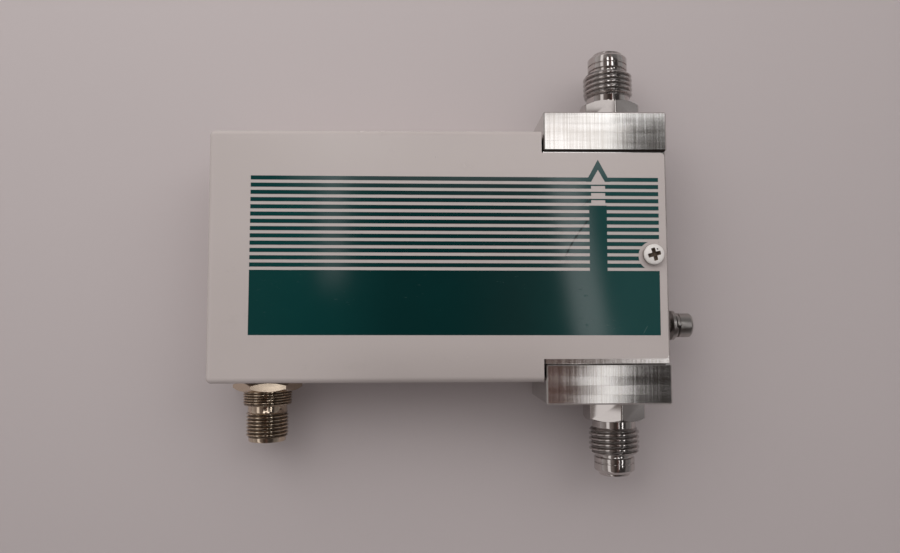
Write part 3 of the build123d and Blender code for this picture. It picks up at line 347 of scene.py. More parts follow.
def milledShader(tree):
    place = tree.place()
    x, y, z = tree.axes(place)
    nx, ny, nz = tree.axes(tree.node("ShaderNodeNewGeometry", out="Normal"))
    onEnd = abs(nx) > 0.7
    travel = x + onEnd * (z - x)
    side = y + (abs(ny) > 0.7) * (z - y)
    line = tree.node("ShaderNodeCombineXYZ", sockets={0: travel, 1: side * 0.02, 2: z * 0.02})
    # each pass of the cutter lies a hair out of level with the next
    passNumber = tree.maths("FLOOR", side / milled["pass"] + tree.noise(line, 90.0, 1.0) * 0.25)
    level = tree.noise(tree.node("ShaderNodeCombineXYZ",
                                 sockets={0: passNumber * 0.37, 1: passNumber * 0.11}), 1.7, 0.0)
    feed = tree.node("ShaderNodeTexWave", {"wave_type": "BANDS", "bands_direction": "X",
                                           "wave_profile": "SIN"},
                     {"Vector": line, "Scale": 1 / milled["feed"] / 3.14, "Distortion": 2.2, "Detail": 2.0,
                      "Detail Scale": 0.35})
    fine = tree.noise(line, 2700.0, 2.0, 0.6)
    wide = tree.noise(line, 520.0, 2.0)
    streak = tree.noise(tree.node("ShaderNodeCombineXYZ", sockets={0: travel * 0.10, 1: side, 2: z * 0.05}),
                        420.0, 3.0, 0.55)
    height = feed * 0.5 + fine * 0.9 + wide * 1.0 + streak * 0.6 + travel * (level - 0.5) * 15000
    # a hollow ledge beside the inlet block, and painted shade down the joint beside the outlet block
    ledge = travel + 14.3 * mm
    height = height + tree.band(y, -0.0294, -0.0270, 0.00002) * ledge * ledge * 9e5
    jointShade = (abs(ny) > 0.7) * tree.band(y, 0.0290, 0.0300, 0.0001)
    # the two tapped mounting holes: thread rings on the wall, darkened inside
    aside = abs(y) - holeSide * mm
    up = z - axisHeight * mm
    tapped = ((tree.maths("SQRT", aside * aside + up * up) < 2.1 * mm)
              * (x < (mountingFace - 0.1) * mm) * (x > 0.0))
    height = height + tree.maths("PINGPONG", x, milled["thread"] / 2) * tapped * 5e5
    tone = fine * 0.5 + wide * 0.15 + streak * 0.35
    colour = tree.mix(tree.step(tone, 0.36, 0.62), rgb(*milled["dark"]), rgb(*milled["colour"]))
    # painted shade on the joint face beside the outlet block, which is also dull
    colour = tree.mix(jointShade * 0.9, colour, rgb(0.035, 0.022, 0.016))
    colour = tree.mix(tapped * 0.88, colour, rgb(0.030, 0.025, 0.022))
    roughness = (milled["roughness"] + (fine - 0.5) * 0.08 + (streak - 0.5) * 0.06
                 + jointShade * 0.4 + tapped * 0.3)
    return surface(tree, colour, roughness, height, 1.0e-6, Metallic=1.0)


# turned faces: rings round the piece's own axis
def turnedShader(look):
    def build(tree):
        place = tree.place()
        parts = tree.axes(tree.stretch(place, (1, 1, 1), tuple(-value for value in look["centre"])))
        along = parts.pop(look["axis"])
        reach = tree.maths("SQRT", parts[0] * parts[0] + parts[1] * parts[1])
        ring = tree.node("ShaderNodeCombineXYZ", sockets={0: along + reach, 1: (along - reach) * 0.35,
                                                          2: 0.0})
        tool = tree.noise(ring, look["pitch"], 3.0, 0.6)
        haze = tree.noise(place, 240.0, 4.0, 0.6)
        nick = tree.step(tree.noise(place, 1500.0, 2.0), 0.70, 0.76)
        grime = tree.step(haze, 0.5, 0.72)
        colour = tree.mix(tool * 0.6 + haze * 0.4, rgb(*look["dark"]), rgb(*look["colour"]))
        colour = tree.mix(nick * 0.3 + grime * look.get("grime", 0.12), colour,
                          rgb(*[value * 0.6 for value in look["dark"]]))
        roughness = look["roughness"] + (tool - 0.5) * 0.10 + (haze - 0.5) * 0.12 + nick * 0.1
        # painted shade in the roots of the threads, which are also rougher
        for thread in look.get("threads", ()):
            within = (tree.band(abs(along), thread["from"] * mm, thread["to"] * mm, 0.05 * mm)
                      * (reach < (thread["crest"] + 0.12) * mm))
            sunk = (within * (1 - tree.step(reach, thread["root"] * mm, thread["crest"] * mm))
                    * (reach > (thread["root"] - 0.5) * mm))
            colour = tree.mix(sunk * 0.8, colour, rgb(*[value * thread["shade"] for value in look["dark"]]))
            roughness = roughness + within * 0.02 + sunk * 0.16
        return surface(tree, colour, roughness, tool + haze * 0.3, look.get("depth", 1.2e-6), Metallic=1.0)
    return build


# rolled, cast or plated metal with an even grain
def metalShader(look):
    def build(tree):
        place = tree.place()
        grain = tree.noise(tree.stretch(place, look.get("stretch", (1, 1, 1))), look["grain"], 4.0, 0.6)
        cloud = tree.noise(place, look.get("cloud", 130.0), 3.0)
        scuff = tree.step(tree.noise(place, 900.0, 3.0, 0.7), 0.64, 0.72)
        colour = tree.mix(grain * 0.5 + cloud * 0.5, rgb(*look["dark"]), rgb(*look["colour"]))
        colour = tree.mix(scuff * 0.25, colour, rgb(*[value * 0.7 for value in look["dark"]]))
        roughness = look["roughness"] + (grain - 0.5) * 0.14 + (cloud - 0.5) * 0.1 + scuff * 0.08
        return surface(tree, colour, roughness, grain, look.get("depth", 1.5e-6), Metallic=1.0)
    return build


# moulded, cast or coated pieces that aren't metal
def mouldedShader(look):
    def build(tree):
        place = tree.place()
        grain = tree.noise(tree.stretch(place, look.get("stretch", (1, 1, 1))), look["grain"], 3.0, 0.6)
        cloud = tree.noise(place, 150.0, 3.0)
        dust = tree.step(tree.noise(place, 700.0, 4.0, 0.7), 0.62, 0.75)
        colour = tree.mix(cloud * 0.6 + grain * 0.4, rgb(*look["dark"]), rgb(*look["colour"]))
        colour = tree.mix(dust * look.get("dust", 0.08), colour, rgb(0.4, 0.38, 0.35))
        roughness = look["roughness"] + (grain - 0.5) * 0.16 + dust * 0.1
        return surface(tree, colour, roughness, grain, look.get("depth", 4e-6))
    return build


# solder resist over glass weave, with copper tracks under it
def boardShader(tree):
    place = tree.place()
    weave = tree.node("ShaderNodeTexChecker", sockets={"Vector": place, "Scale": 1900.0}, out=1)
    blocks = tree.node("ShaderNodeTexVoronoi", {"distance": "MANHATTAN", "feature": "F2"},
                       {"Vector": tree.stretch(place, (1, 1, 0.01)), "Scale": 330.0})
    tracks = tree.band(blocks, 0.55, 0.72, 0.02)
    lands = tree.node("ShaderNodeTexVoronoi", sockets={"Vector": tree.stretch(place, (1, 1, 0.01)),
                                                       "Scale": 480.0})
    pads = 1 - tree.step(lands, 0.12, 0.16)
    face = abs(tree.axes(tree.node("ShaderNodeNewGeometry", out="Normal"))[2]) > 0.7
    colour = tree.mix(tracks, rgb(0.008, 0.075, 0.035), rgb(0.02, 0.16, 0.07))
    colour = tree.mix(pads * face, colour, rgb(0.62, 0.60, 0.55))
    colour = tree.mix(face, rgb(0.30, 0.27, 0.14), colour)
    return surface(tree, colour, 0.32 + weave * 0.05 + pads * 0.05, tracks + weave * 0.15 + pads, 1.2e-5)


steel = {"colour": (0.62, 0.585, 0.565), "dark": (0.50, 0.465, 0.45)}
finishes = {
    "painted_cover": finish("coverPaint", paintShader),
    "screen_print": finish("printInk", inkShader),
    "milled_steel": finish("milledSteel", milledShader),
    "turned_steel": finish("valveSteel", turnedShader({
        **steel, "centre": valveLine, "axis": 0, "pitch": 4200.0, "roughness": 0.24})),
    "nickel_seal": finish("sealNickel", metalShader({
        "colour": (0.62, 0.58, 0.50), "dark": (0.5, 0.46, 0.4), "grain": 1800.0, "roughness": 0.32})),
    "socket_screws": finish("screwSteel", metalShader({
        "colour": (0.50, 0.475, 0.455), "dark": (0.38, 0.355, 0.34), "grain": 2600.0, "roughness": 0.30})),
    "plated_screw": finish("platedScrew", metalShader({
        "colour": (0.80, 0.765, 0.735), "dark": (0.68, 0.64, 0.61), "grain": 2200.0, "roughness": 0.36})),
    "seat_polymer": finish("seatPolymer", mouldedShader({
        "colour": (0.62, 0.60, 0.52), "dark": (0.54, 0.51, 0.43), "grain": 1700.0, "roughness": 0.42})),
    "spring_alloy": finish("springAlloy", metalShader({
        "colour": (0.60, 0.57, 0.53), "dark": (0.5, 0.47, 0.43), "grain": 3000.0, "stretch": (1, 0.2, 1),
        "roughness": 0.2})),
    "piezo_ceramic": finish("piezoCoat", mouldedShader({
        "colour": (0.32, 0.20, 0.06), "dark": (0.22, 0.13, 0.04), "grain": 420.0, "stretch": (4, 0.3, 0.3),
        "roughness": 0.38, "depth": 2e-5})),
    "copper_winding": finish("windingCopper", turnedShader({
        "colour": (0.72, 0.29, 0.14), "dark": (0.42, 0.14, 0.06), "centre": Vector((-0.0417, 0, 0.0143)),
        "axis": 1, "pitch": 7000.0, "roughness": 0.3, "depth": 1.2e-5})),
    "sensor_aluminium": finish("housingAluminium", metalShader({
        "colour": (0.70, 0.70, 0.71), "dark": (0.60, 0.60, 0.61), "grain": 1500.0, "roughness": 0.4,
        "depth": 3e-6})),
    "sheet_steel": finish("sheetSteel", metalShader({
        "colour": (0.62, 0.60, 0.58), "dark": (0.52, 0.50, 0.48), "grain": 1500.0, "stretch": (0.08, 1, 1),
        "roughness": 0.34})),
    "plated_brass": finish("spacerPlate", metalShader({
        "colour": (0.70, 0.66, 0.57), "dark": (0.58, 0.54, 0.46), "grain": 2400.0, "roughness": 0.22})),
    "circuit_board": finish("boardResist", boardShader),
    "black_plastic": finish("blackMoulding", mouldedShader({
        "colour": (0.022, 0.021, 0.021), "dark": (0.012, 0.012, 0.012), "grain": 1300.0,
        "roughness": 0.48})),
    "header_plastic": finish("nylonMoulding", mouldedShader({
        "colour": (0.68, 0.63, 0.50), "dark": (0.58, 0.53, 0.41), "grain": 900.0, "roughness": 0.42})),
    "lead_jacket": finish("leadJacket", mouldedShader({
        "colour": (0.035, 0.034, 0.036), "dark": (0.02, 0.02, 0.021), "grain": 800.0, "roughness": 0.5,
        "depth": 1e-5})),
    "nickel_plate": finish("nickelPlate", turnedShader({
        "colour": (0.74, 0.63, 0.51), "dark": (0.52, 0.415, 0.315), "centre": socketLine, "axis": 1,
        "pitch": 3800.0, "roughness": 0.12, "grime": 0.25,
        "threads": [{"from": 33.3, "to": 41.6, "root": 6.56, "crest": 6.95, "shade": 0.25},
                    {"from": 43.6, "to": 50.7, "root": 5.42, "crest": 5.95, "shade": 0.25}]})),
    "gold_pins": finish("pinGold", metalShader({
        "colour": (0.90, 0.62, 0.22), "dark": (0.72, 0.45, 0.13), "grain": 3000.0, "roughness": 0.2})),
    "gasket_rubber": finish("gasketRubber", mouldedShader({
        "colour": (0.020, 0.019, 0.018), "dark": (0.011, 0.011, 0.010), "grain": 1600.0, "roughness": 0.62,
        "depth": 8e-6})),
}
fittingSteel = finish("fittingSteel", turnedShader({
    **steel, "centre": gasLine, "axis": 1, "pitch": 3400.0, "roughness": 0.10, "depth": 8e-7,
    "threads": [{"from": 48.3, "to": 55.7, "root": 6.35, "crest": 7.05, "shade": 0.6}]}))

for entry in frame["record"]["subparts"]:
    cadNode = nodes[entry["node"]]
    cadNode.material_slots[0].material = finishes[entry["material_slot"]]
nodes["bypass_element"].material_slots[0].material = fittingSteel
print("finishes made:", len(finishes) + 1)


# ways of working that the pieces share

def pickOnly(piece):
    bpy.ops.object.select_all(action="DESELECT")
    piece.select_set(True)
    bpy.context.view_layer.objects.active = piece


def pickEdges(piece, wanted):
    bpy.ops.mesh.select_mode(type="EDGE")
    bpy.ops.mesh.select_all(action="DESELECT")
    cage = bmesh.from_edit_mesh(piece.data)
    for edge in cage.edges:
        if wanted(edge.verts[0].co, edge.verts[1].co):
            edge.select_set(True)
    bmesh.update_edit_mesh(piece.data)


def pickFaces(piece, wanted):
    bpy.ops.mesh.select_mode(type="FACE")
    bpy.ops.mesh.select_all(action="DESELECT")
    cage = bmesh.from_edit_mesh(piece.data)
    for face in cage.faces:
        if wanted(face.normal, face.calc_center_median()):
            face.select_set(True)
    bmesh.update_edit_mesh(piece.data)


# a circle drawn out along an axis; each stop is a distance and a radius in mm
def turnPiece(name, base, direction, lead, stops, steps=96, solid=False):
    closed = stops[0] == stops[-1]
    sideways = lead.cross(direction)
    turn = Matrix((sideways, lead, direction)).transposed().to_euler()
    bpy.ops.object.select_all(action="DESELECT")
    bpy.ops.mesh.primitive_circle_add(vertices=steps, radius=stops[0][1] * mm,
                                      fill_type="NGON" if solid else "NOTHING",
                                      location=base + direction * stops[0][0] * mm, rotation=turn)
    piece = bpy.context.object
    piece.name = name
    bpy.ops.object.transform_apply(location=True, rotation=True, scale=True)
    bpy.ops.object.mode_set(mode="EDIT")
    bpy.ops.mesh.select_mode(type="VERT")
    bpy.ops.mesh.select_all(action="SELECT")
    for (near, before), (far, after) in zip(stops, stops[1:]):
        bpy.ops.mesh.extrude_region_move(TRANSFORM_OT_translate={"value": direction * (far - near) * mm,
                                                                 "orient_type": "GLOBAL"})
        grow = after / before
        scale = [grow + (1 - grow) * abs(part) for part in direction]
        bpy.ops.transform.resize(value=scale, orient_type="GLOBAL", center_override=base
                                 + direction * far * mm)
    bpy.ops.mesh.select_all(action="SELECT")
    if closed:
        bpy.ops.mesh.remove_doubles(threshold=0.0005 * mm)
    bpy.ops.mesh.normals_make_consistent(inside=False)
    bpy.ops.object.mode_set(mode="OBJECT")
    return piece


# rings close enough together to take a thread, then the groove sunk along its helix
def cutThread(piece, base, direction, lead, thread):
    low, high, outer, pitch = thread["from"], thread["to"], thread["radius"], thread["pitch"]
    deep = pitch * 0.61
    across = direction.cross(lead)

    def reach(point):
        offset = (point - base) / mm
        along = offset.dot(direction)
        return along, (offset - direction * along).length

    def inStretch(point):
        along, out = reach(point)
        return low - 0.001 < along < high + 0.001 and out > outer - 2 * deep

    spans = sorted({round(reach(vertex.co)[0], 3)
                    for vertex in piece.data.vertices if inStretch(vertex.co)})
    pickOnly(piece)
    bpy.ops.object.mode_set(mode="EDIT")
    for near, far in zip(spans, spans[1:]):
        def wanted(first, second, near=near, far=far):
            ends = sorted((reach(first), reach(second)))
            return (abs(ends[0][0] - near) < 0.002 and abs(ends[1][0] - far) < 0.002
                    and min(ends[0][1], ends[1][1]) > outer - 2 * deep)
        pickEdges(piece, wanted)
        bpy.ops.mesh.subdivide(number_cuts=max(1, round((far - near) / pitch * thread["rings"]) - 1))
    bpy.ops.object.mode_set(mode="OBJECT")
    for vertex in piece.data.vertices:
        if not inStretch(vertex.co):
            continue
        along, out = reach(vertex.co)
        spoke = vertex.co - base - direction * along * mm
        phase = (along / pitch - atan2(spoke.dot(across), spoke.dot(lead)) / tau) % 1
        flank = min(1, max(0, (abs(phase * 2 - 1) - 0.24) / 0.60))
        vertex.co = base + direction * along * mm + spoke.normalized() * min(out, outer - deep * flank) * mm


def cutAway(piece, cutter, operation="DIFFERENCE"):
    pickOnly(piece)
    cut = piece.modifiers.new("cut", "BOOLEAN")
    cut.object = cutter
    cut.operation = operation
    cut.solver = "EXACT"
    bpy.ops.object.modifier_apply(modifier=cut.name)
    bpy.data.meshes.remove(cutter.data)


def joinPieces(first, *others):
    pickOnly(first)
    for other in others:
        other.select_set(True)
    bpy.ops.object.join()
    return first


def finishPiece(piece, material, slotName, *replaced, smooth=30):
    pickOnly(piece)
    bpy.ops.object.transform_apply(location=True, rotation=True, scale=True)
    bpy.ops.object.shade_smooth_by_angle(angle=radians(smooth))
    piece.data.materials.clear()
    piece.data.materials.append(material)
    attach(piece, "root")
    if replaced:
        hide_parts(*replaced)
    print("made", piece.name, len(piece.data.polygons), "faces")


# gas fittings: spigot, hexagon, 9/16-18 thread, neck, gland with its groove, sealing bead and bore

fitting = {
    "blockFace": 40.45, "spigot": 5.0, "bore": 2.3, "relief": 6.2, "neck": 5.1, "gland": 5.75,
    "flats": 15.875, "hexagon": 5.7, "hexInset": 0.1, "hexSlope": 0.647, "arris": 0.28,
    "thread": {"from": 7.9, "to": 15.2, "radius": 7.14, "pitch": 1.411, "rings": 16},
    "bead": (20.85, 3.8, 0.7), "turns": {-1: 29.0, 1: -29.5},
}


def makeFitting(name, side):
    base = Vector((0, side * fitting["blockFace"], axisHeight)) * mm
    direction = Vector((0, side, 0))
    angle = radians(fitting["turns"][side])
    lead = Vector((cos(angle), 0, sin(angle)))
    bore, relief, neck, gland = fitting["bore"], fitting["relief"], fitting["neck"], fitting["gland"]
    crest, middle, swell = fitting["bead"]
    foot, long = -fitting["spigot"], fitting["hexagon"]
    bead = [(crest + swell * sin(radians(turn)), middle + swell * cos(radians(turn)))
            for turn in range(0, 181, 30)]
    stops = [(foot, bore), (foot, 4.3), (foot + 0.2, 4.5), (0.0, 4.5), (0.0, relief), (7.75, relief),
             (7.9, 6.3), (8.65, 7.05), (8.8, 7.14),
             (14.35, 7.14), (14.5, 7.05), (15.2, 6.25), (15.2, neck + 0.25), (15.28, neck + 0.08),
             (15.45, neck), (16.05, neck),
             (16.22, neck + 0.08), (16.3, neck + 0.25), (16.3, gland - 0.15), (16.45, gland),
             (17.55, gland), (17.62, gland - 0.08), (17.64, gland - 0.33), (17.96, gland - 0.33),
             (17.98, gland - 0.08), (18.05, gland),
             (19.75, gland), (19.95, gland - 0.07), (20.1, gland - 0.2), *bead, (crest, bore + 0.35),
             (21.0, bore + 0.3), (20.7, bore), (foot, bore)]
    body = turnPiece(name, base, direction, lead, stops)
    cutThread(body, base, direction, lead, fitting["thread"])
    half = fitting["flats"] / 2
    corner = half / cos(tau / 12)
    clear = 11
    sunk = (clear - half + fitting["hexInset"]) * fitting["hexSlope"]
    hexagon = turnPiece("hexagon", base, direction, lead, [(0, corner), (long, corner)], 6, solid=True)
    pickOnly(hexagon)
    bpy.ops.object.mode_set(mode="EDIT")
    pickEdges(hexagon, lambda first, second: abs(first.y - second.y) > 1 * mm)
    bpy.ops.mesh.bevel(offset=fitting["arris"] * mm, segments=3, affect="EDGES")
    bpy.ops.object.mode_set(mode="OBJECT")
    corners = turnPiece("corners", base, direction, lead,
                        [(-1.0, clear), (long - sunk, clear), (long, half - fitting["hexInset"])],
                        solid=True)
    cutAway(hexagon, corners, "INTERSECT")
    return joinPieces(body, hexagon)


for name, side, node in (("inletFitting", -1, "inlet_fitting"), ("outletFitting", 1, "outlet_fitting")):
    finishPiece(makeFitting(name, side), fittingSteel, "turned_steel", node)


# field-bus receptacle: flange, panel thread, neck, coupling thread, plain lip and socket

receptacle = {
    "place": (-100.6, -34.3, 11.8), "bore": 4.4, "neck": 5.6, "lip": 5.4,
    "panelThread": {"from": -1.0, "to": 7.3, "radius": 7.0, "pitch": 0.75, "rings": 12},
    "couplingThread": {"from": 9.3, "to": 16.4, "radius": 6.0, "pitch": 1.0, "rings": 14},
    "key": (1.4, 0.5, 7.6),
}


def makeReceptacle():
    base = Vector(receptacle["place"]) * mm
    direction = Vector((0, -1, 0))
    lead = Vector((0, 0, 1))
    bore, neck, lip = receptacle["bore"], receptacle["neck"], receptacle["lip"]
    stops = [(-6.3, bore), (-6.3, 5.8), (-6.1, 6.0), (-3.0, 6.0), (-3.0, 8.3), (-2.8, 8.5), (-1.0, 8.5),
             (-1.0, 7.0), (6.8, 7.0), (7.3, 6.5),
             (7.3, neck + 0.2), (7.5, neck), (9.1, neck), (9.3, neck + 0.1), (9.6, 6.0), (16.0, 6.0),
             (16.4, lip), (16.6, lip - 0.06), (17.3, lip - 0.06),
             (17.6, lip - 0.2), (17.7, lip - 0.4), (17.7, bore + 0.25), (17.5, bore), (-6.3, bore)]
    shell = turnPiece("connectorShell", base, direction, lead, stops)
    cutThread(shell, base, direction, lead, receptacle["panelThread"])
    cutThread(shell, base, direction, lead, receptacle["couplingThread"])
    width, deep, long = receptacle["key"]
    bpy.ops.object.select_all(action="DESELECT")
    bpy.ops.mesh.primitive_cube_add(size=1, scale=Vector((width, long, 2 * deep)) * mm,
                                    location=base + (direction * (17.8 - long / 2) + lead * bore) * mm)
    key = bpy.context.object
    bpy.ops.object.mode_set(mode="EDIT")
    pickEdges(key, lambda first, second: abs(first.y - second.y) > 1 * mm and first.z > base.z + bore * mm)
    bpy.ops.mesh.bevel(offset=0.15 * mm, segments=2, affect="EDGES")
    bpy.ops.object.mode_set(mode="OBJECT")
    cutAway(shell, key)
    return shell


finishPiece(makeReceptacle(), finishes["nickel_plate"], "nickel_plate", "connector_shell")


# the screw left in the mounting hole, and its spring washer

mountingScrew = {
    "head": (19.25, -holeSide, axisHeight), "headRadius": 3.5, "headHeight": 4.0, "socket": (3.0, 2.2),
    "thread": {"from": -12.0, "to": -0.6, "radius": 2.0, "pitch": 0.7, "rings": 7},
}


def makeMountingScrew():
    base = Vector(mountingScrew["head"]) * mm
    direction = Vector((1, 0, 0))
    lead = Vector((0, 0, 1))
    edge, high = mountingScrew["headRadius"], mountingScrew["headHeight"]
    crown = [(3.0 + 0.95 * sin(radians(turn)), edge - 0.95 + 0.95 * cos(radians(turn)))
             for turn in (15, 35, 55, 75, 90)]
    stops = [(-12.0, 1.5), (-11.5, 2.0), (-0.6, 2.0), (-0.1, 2.02), (0.0, 2.1), (0.0, edge - 0.2),
             (0.15, edge), (3.0, edge), *crown, (high, 2.1), (high - 0.02, 1.95)]
    screw = turnPiece("mountingScrew", base, direction, lead, stops, 64, solid=True)
    cutThread(screw, base, direction, lead, mountingScrew["thread"])
    flats, deep = mountingScrew["socket"]
    wide = flats / 2 / cos(tau / 12)
    cutAway(screw, turnPiece("socket", base, direction, lead,
                             [(high + 0.2, wide + 0.25), (high, wide + 0.1), (high - 0.15, wide),
                              (high - deep, wide), (high - 0.6 - deep, 0.3)], 6, solid=True))
    return screw


finishPiece(makeMountingScrew(), finishes["socket_screws"], "socket_screws", "mounting_screw")

springWasher = {"base": (17.9, -holeSide, axisHeight), "bore": 2.08, "radius": 3.68, "thickness": 0.84,
                "span": 1.35, "slit": 11.0}


# a square wire spun nearly all the way round, then sprung so that its two ends stand apart
def makeSpringWasher():
    base = Vector(springWasher["base"]) * mm
    look = springWasher
    middle = (look["bore"] + look["radius"]) / 2
    bpy.ops.object.select_all(action="DESELECT")
    bpy.ops.mesh.primitive_plane_add(size=1, location=base + Vector((look["thickness"] / 2, 0, middle))
                                     * mm, rotation=(radians(90), 0, 0))
    washer = bpy.context.object
    washer.name = "springWasher"
    washer.scale = (look["thickness"] * mm, (look["radius"] - look["bore"]) * mm, 1)
    bpy.ops.object.transform_apply(location=True, rotation=True, scale=True)
    bpy.ops.object.mode_set(mode="EDIT")
    bpy.ops.mesh.select_all(action="SELECT")
    bpy.ops.mesh.select_mode(type="VERT")
    bpy.ops.mesh.bevel(offset=0.12 * mm, segments=2, affect="VERTICES")
    bpy.ops.mesh.select_all(action="SELECT")
    bpy.ops.mesh.spin(steps=80, angle=radians(360 - look["slit"]), center=base, axis=(1, 0, 0), dupli=False)
    bpy.ops.mesh.select_all(action="SELECT")
    bpy.ops.mesh.remove_doubles(threshold=0.0005 * mm)
    bpy.ops.mesh.normals_make_consistent(inside=False)
    bpy.ops.object.mode_set(mode="OBJECT")
    rise = look["span"] - look["thickness"]
    for vertex in washer.data.vertices:
        offset = vertex.co - base
        turn = (atan2(offset.y, offset.z) / tau) % 1
        if turn > 0.995:
            turn = 0
        fall = min(1, turn / 0.3)
        vertex.co.x += rise * (1 - fall * fall * (3 - 2 * fall)) * mm
    return washer


finishPiece(makeSpringWasher(), finishes["socket_screws"], "socket_screws", "spring_washer")


# front cover screw: a pan head with a cross recess and a punched dot

coverScrew = {"radius": 2.85, "edge": 1.2, "height": 1.96, "recess": (3.9, 1.2, 1.5), "turn": 15.0,
              "dot": (0.80, 1.42, 0.27)}


# dull white plating; the recess and the dot are painted dark as shade, and the head's lower side is painted
# dark as shade and a reflection of the dark print
def coverScrewShader(tree):
    place = tree.place()
    x, y, z = tree.axes(tree.stretch(place, (1, 1, 1), tuple(-value for value in screwSpot)))
    reach = tree.maths("SQRT", x * x + y * y)
    # painted shade inside the recess and the dot
    sunk = (1 - tree.step(z, 1.62 * mm, 1.76 * mm)) * (reach < 2.0 * mm)
    tool = tree.noise(tree.node("ShaderNodeCombineXYZ", sockets={0: reach, 1: z}), 5200.0, 3.0, 0.6)
    haze = tree.noise(place, 620.0, 4.0, 0.65)
    # painted shade and reflection of the dark print round the lower side of the head
    foot = 1 - tree.step(z, 1.0 * mm, 1.45 * mm)
    colour = tree.mix(tool * 0.4 + haze * 0.6, rgb(0.90, 0.85, 0.81), rgb(1.0, 0.965, 0.94))
    colour = tree.mix(foot * 0.85, colour, rgb(0.20, 0.15, 0.12))
    colour = tree.mix(sunk, colour, tree.mix(haze, rgb(0.07, 0.04, 0.027), rgb(0.20, 0.15, 0.115)))
    return surface(tree, colour, 0.34 + (haze - 0.5) * 0.16 + sunk * 0.25, tool * 0.6 + haze, 2.5e-6,
                   Metallic=0.08)


def makeCoverScrew():
    base = screwSpot
    direction = Vector((0, 0, 1))
    lead = Vector((1, 0, 0))
    wide, edge, high = coverScrew["radius"], coverScrew["edge"], coverScrew["height"]
    dome = [(edge + 0.5 * sin(radians(turn)), wide - 0.5 + 0.5 * cos(radians(turn)))
            for turn in (18, 36, 54, 70)]
    dome += [(edge + 0.56, 2.0), (high - 0.09, 1.5), (high - 0.04, 1.0), (high, 0.3)]
    stops = [(-6.0, 1.2), (-5.7, 1.5), (-0.3, 1.5), (0.0, 1.5), (0.0, wide - 0.18), (0.12, wide - 0.04),
             (0.25, wide), (edge, wide), *dome]
    screw = turnPiece("coverScrew", base, direction, lead, stops, solid=True)
    length, width, deep = coverScrew["recess"]
    top = base + direction * (high + 0.1) * mm
    for turn in (0, 90):
        bpy.ops.object.select_all(action="DESELECT")
        bpy.ops.mesh.primitive_cube_add(size=1, location=top - direction * deep / 2 * mm,
                                        scale=Vector((length, width, deep)) * mm,
                                        rotation=(0, 0, radians(coverScrew["turn"] + turn)))
        arm = bpy.context.object
        bpy.ops.object.transform_apply(location=True, rotation=True, scale=True)
        bpy.ops.object.mode_set(mode="EDIT")
        pickFaces(arm, lambda normal, centre: normal.z < -0.5)
        bpy.ops.transform.resize(value=(0.62, 0.62, 1), orient_type="GLOBAL", center_override=top
                                 - direction * deep * mm)
        pickEdges(arm, lambda first, second: abs(first.z - second.z) > 0.5 * mm)
        bpy.ops.mesh.bevel(offset=0.16 * mm, segments=3, affect="EDGES")
        bpy.ops.object.mode_set(mode="OBJECT")
        cutAway(screw, arm)
    cutAway(screw, turnPiece("pit", base, direction, lead, [(high + 0.1, 0.85), (high - 0.9, 0.6),
                                                            (high - 1.5, 0.1)], 32, solid=True))
    right, up, small = coverScrew["dot"]
    cutAway(screw, turnPiece("dot", base + Vector((right, up, 0)) * mm, direction, lead,
                             [(high + 0.1, small), (high - 0.55, small * 0.6)], 20, solid=True))
    return screw


finishPiece(makeCoverScrew(), finish("coverScrewPlate", coverScrewShader), "plated_screw",
            "cover_screw_front", smooth=25)


# the print on the front: stripes over a solid band, kept clear round the screw and the arrow

printed = {
    "left": -102.3, "right": 9.9, "top": 21.85, "stripes": 13, "pitch": 1.992, "stripe": 1.14,
    "band": (-4.05, -21.7), "column": (-9.38, -4.5, 14.0), "turn": -0.25,
    "apex": (-6.84, 26.88), "arrowFoot": (-10.2, -3.5, 20.65), "inner": (-6.84, 24.03),
    "innerFoot": (-9.0, -4.7, 20.25),
    "bars": (-8.8, -4.9, 0.36), "clear": (8.2, 0.1, 4.08), "low": 28.57, "high": 28.63, "over": 0.2,
}


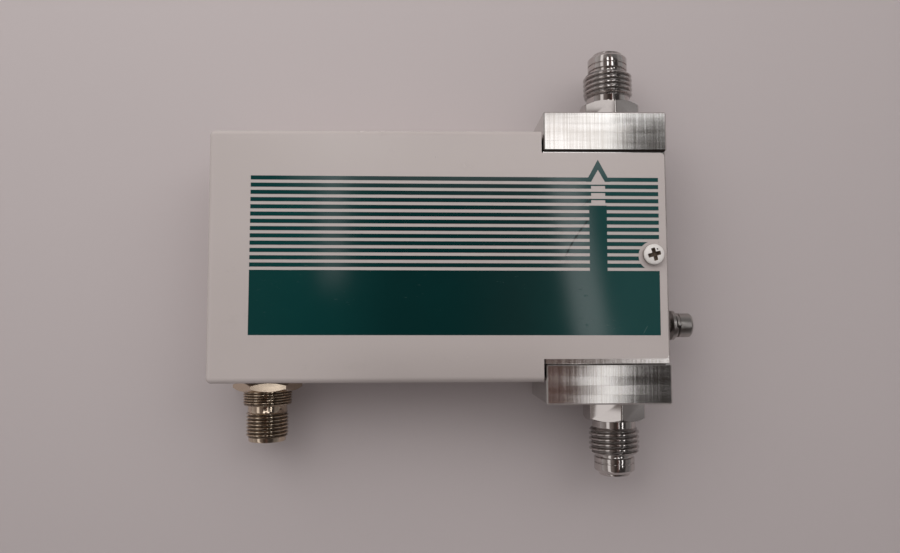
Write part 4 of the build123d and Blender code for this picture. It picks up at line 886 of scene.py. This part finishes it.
# a flat shape drawn from its corners and pulled up to the thickness of the ink
def inkShape(corners, low=printed["low"], high=printed["high"]):
    bpy.ops.object.select_all(action="DESELECT")
    bpy.ops.mesh.primitive_circle_add(vertices=len(corners), radius=1 * mm, fill_type="NGON",
                                      location=(0, 0, 0))
    shape = bpy.context.object
    for vertex, (x, y) in zip(shape.data.vertices, corners):
        vertex.co = Vector((x, y, low)) * mm
    bpy.ops.object.mode_set(mode="EDIT")
    bpy.ops.mesh.select_all(action="SELECT")
    bpy.ops.mesh.extrude_region_move(TRANSFORM_OT_translate={"value": (0, 0, (high - low) * mm),
                                                             "orient_type": "GLOBAL"})
    bpy.ops.mesh.select_all(action="SELECT")
    bpy.ops.mesh.normals_make_consistent(inside=False)
    bpy.ops.object.mode_set(mode="OBJECT")
    return shape


def rectangle(left, bottom, right, top):
    return [(left, bottom), (right, bottom), (right, top), (left, top)]


def makePrint():
    look = printed
    low, high = look["low"] - look["over"], look["high"] + look["over"]
    stripes = inkShape(rectangle(look["left"], look["top"] - look["stripe"], look["right"], look["top"]))
    stripes.name = "screenPrint"
    pickOnly(stripes)
    rows = stripes.modifiers.new("rows", "ARRAY")
    rows.use_relative_offset = False
    rows.use_constant_offset = True
    rows.count = look["stripes"]
    rows.constant_offset_displace = (0, -look["pitch"] * mm, 0)
    bpy.ops.object.modifier_apply(modifier=rows.name)
    bandTop, bandBottom = look["band"]
    left, right, columnTop = look["column"]
    cutAway(stripes, inkShape(rectangle(left, bandTop - 1, right, columnTop)), "UNION")
    cutAway(stripes, inkShape(rectangle(look["left"], bandBottom, look["right"], bandTop)), "UNION")
    footLeft, footRight, foot = look["arrowFoot"]
    cutAway(stripes, inkShape([(footLeft, foot), (footRight, foot), look["apex"]]), "UNION")
    innerLeft, innerRight, innerFoot = look["innerFoot"]
    cutAway(stripes, inkShape([(innerLeft, innerFoot), (innerRight, innerFoot), look["inner"]], low, high))
    barLeft, barRight, kept = look["bars"]
    for row in (1, 2, 3):
        rowTop = look["top"] - row * look["pitch"]
        cutAway(stripes,
                inkShape(rectangle(barLeft, rowTop - look["stripe"] - 0.1, barRight, rowTop - kept), low,
                         high))
    x, y, reach = look["clear"]
    ring = [(x + reach * cos(tau * step / 72), y + reach * sin(tau * step / 72)) for step in range(72)]
    cutAway(stripes, inkShape(ring, low, high))
    stripes.rotation_euler.z = radians(look["turn"])
    return stripes


finishPiece(makePrint(), finishes["screen_print"], "screen_print")
print("pieces made")
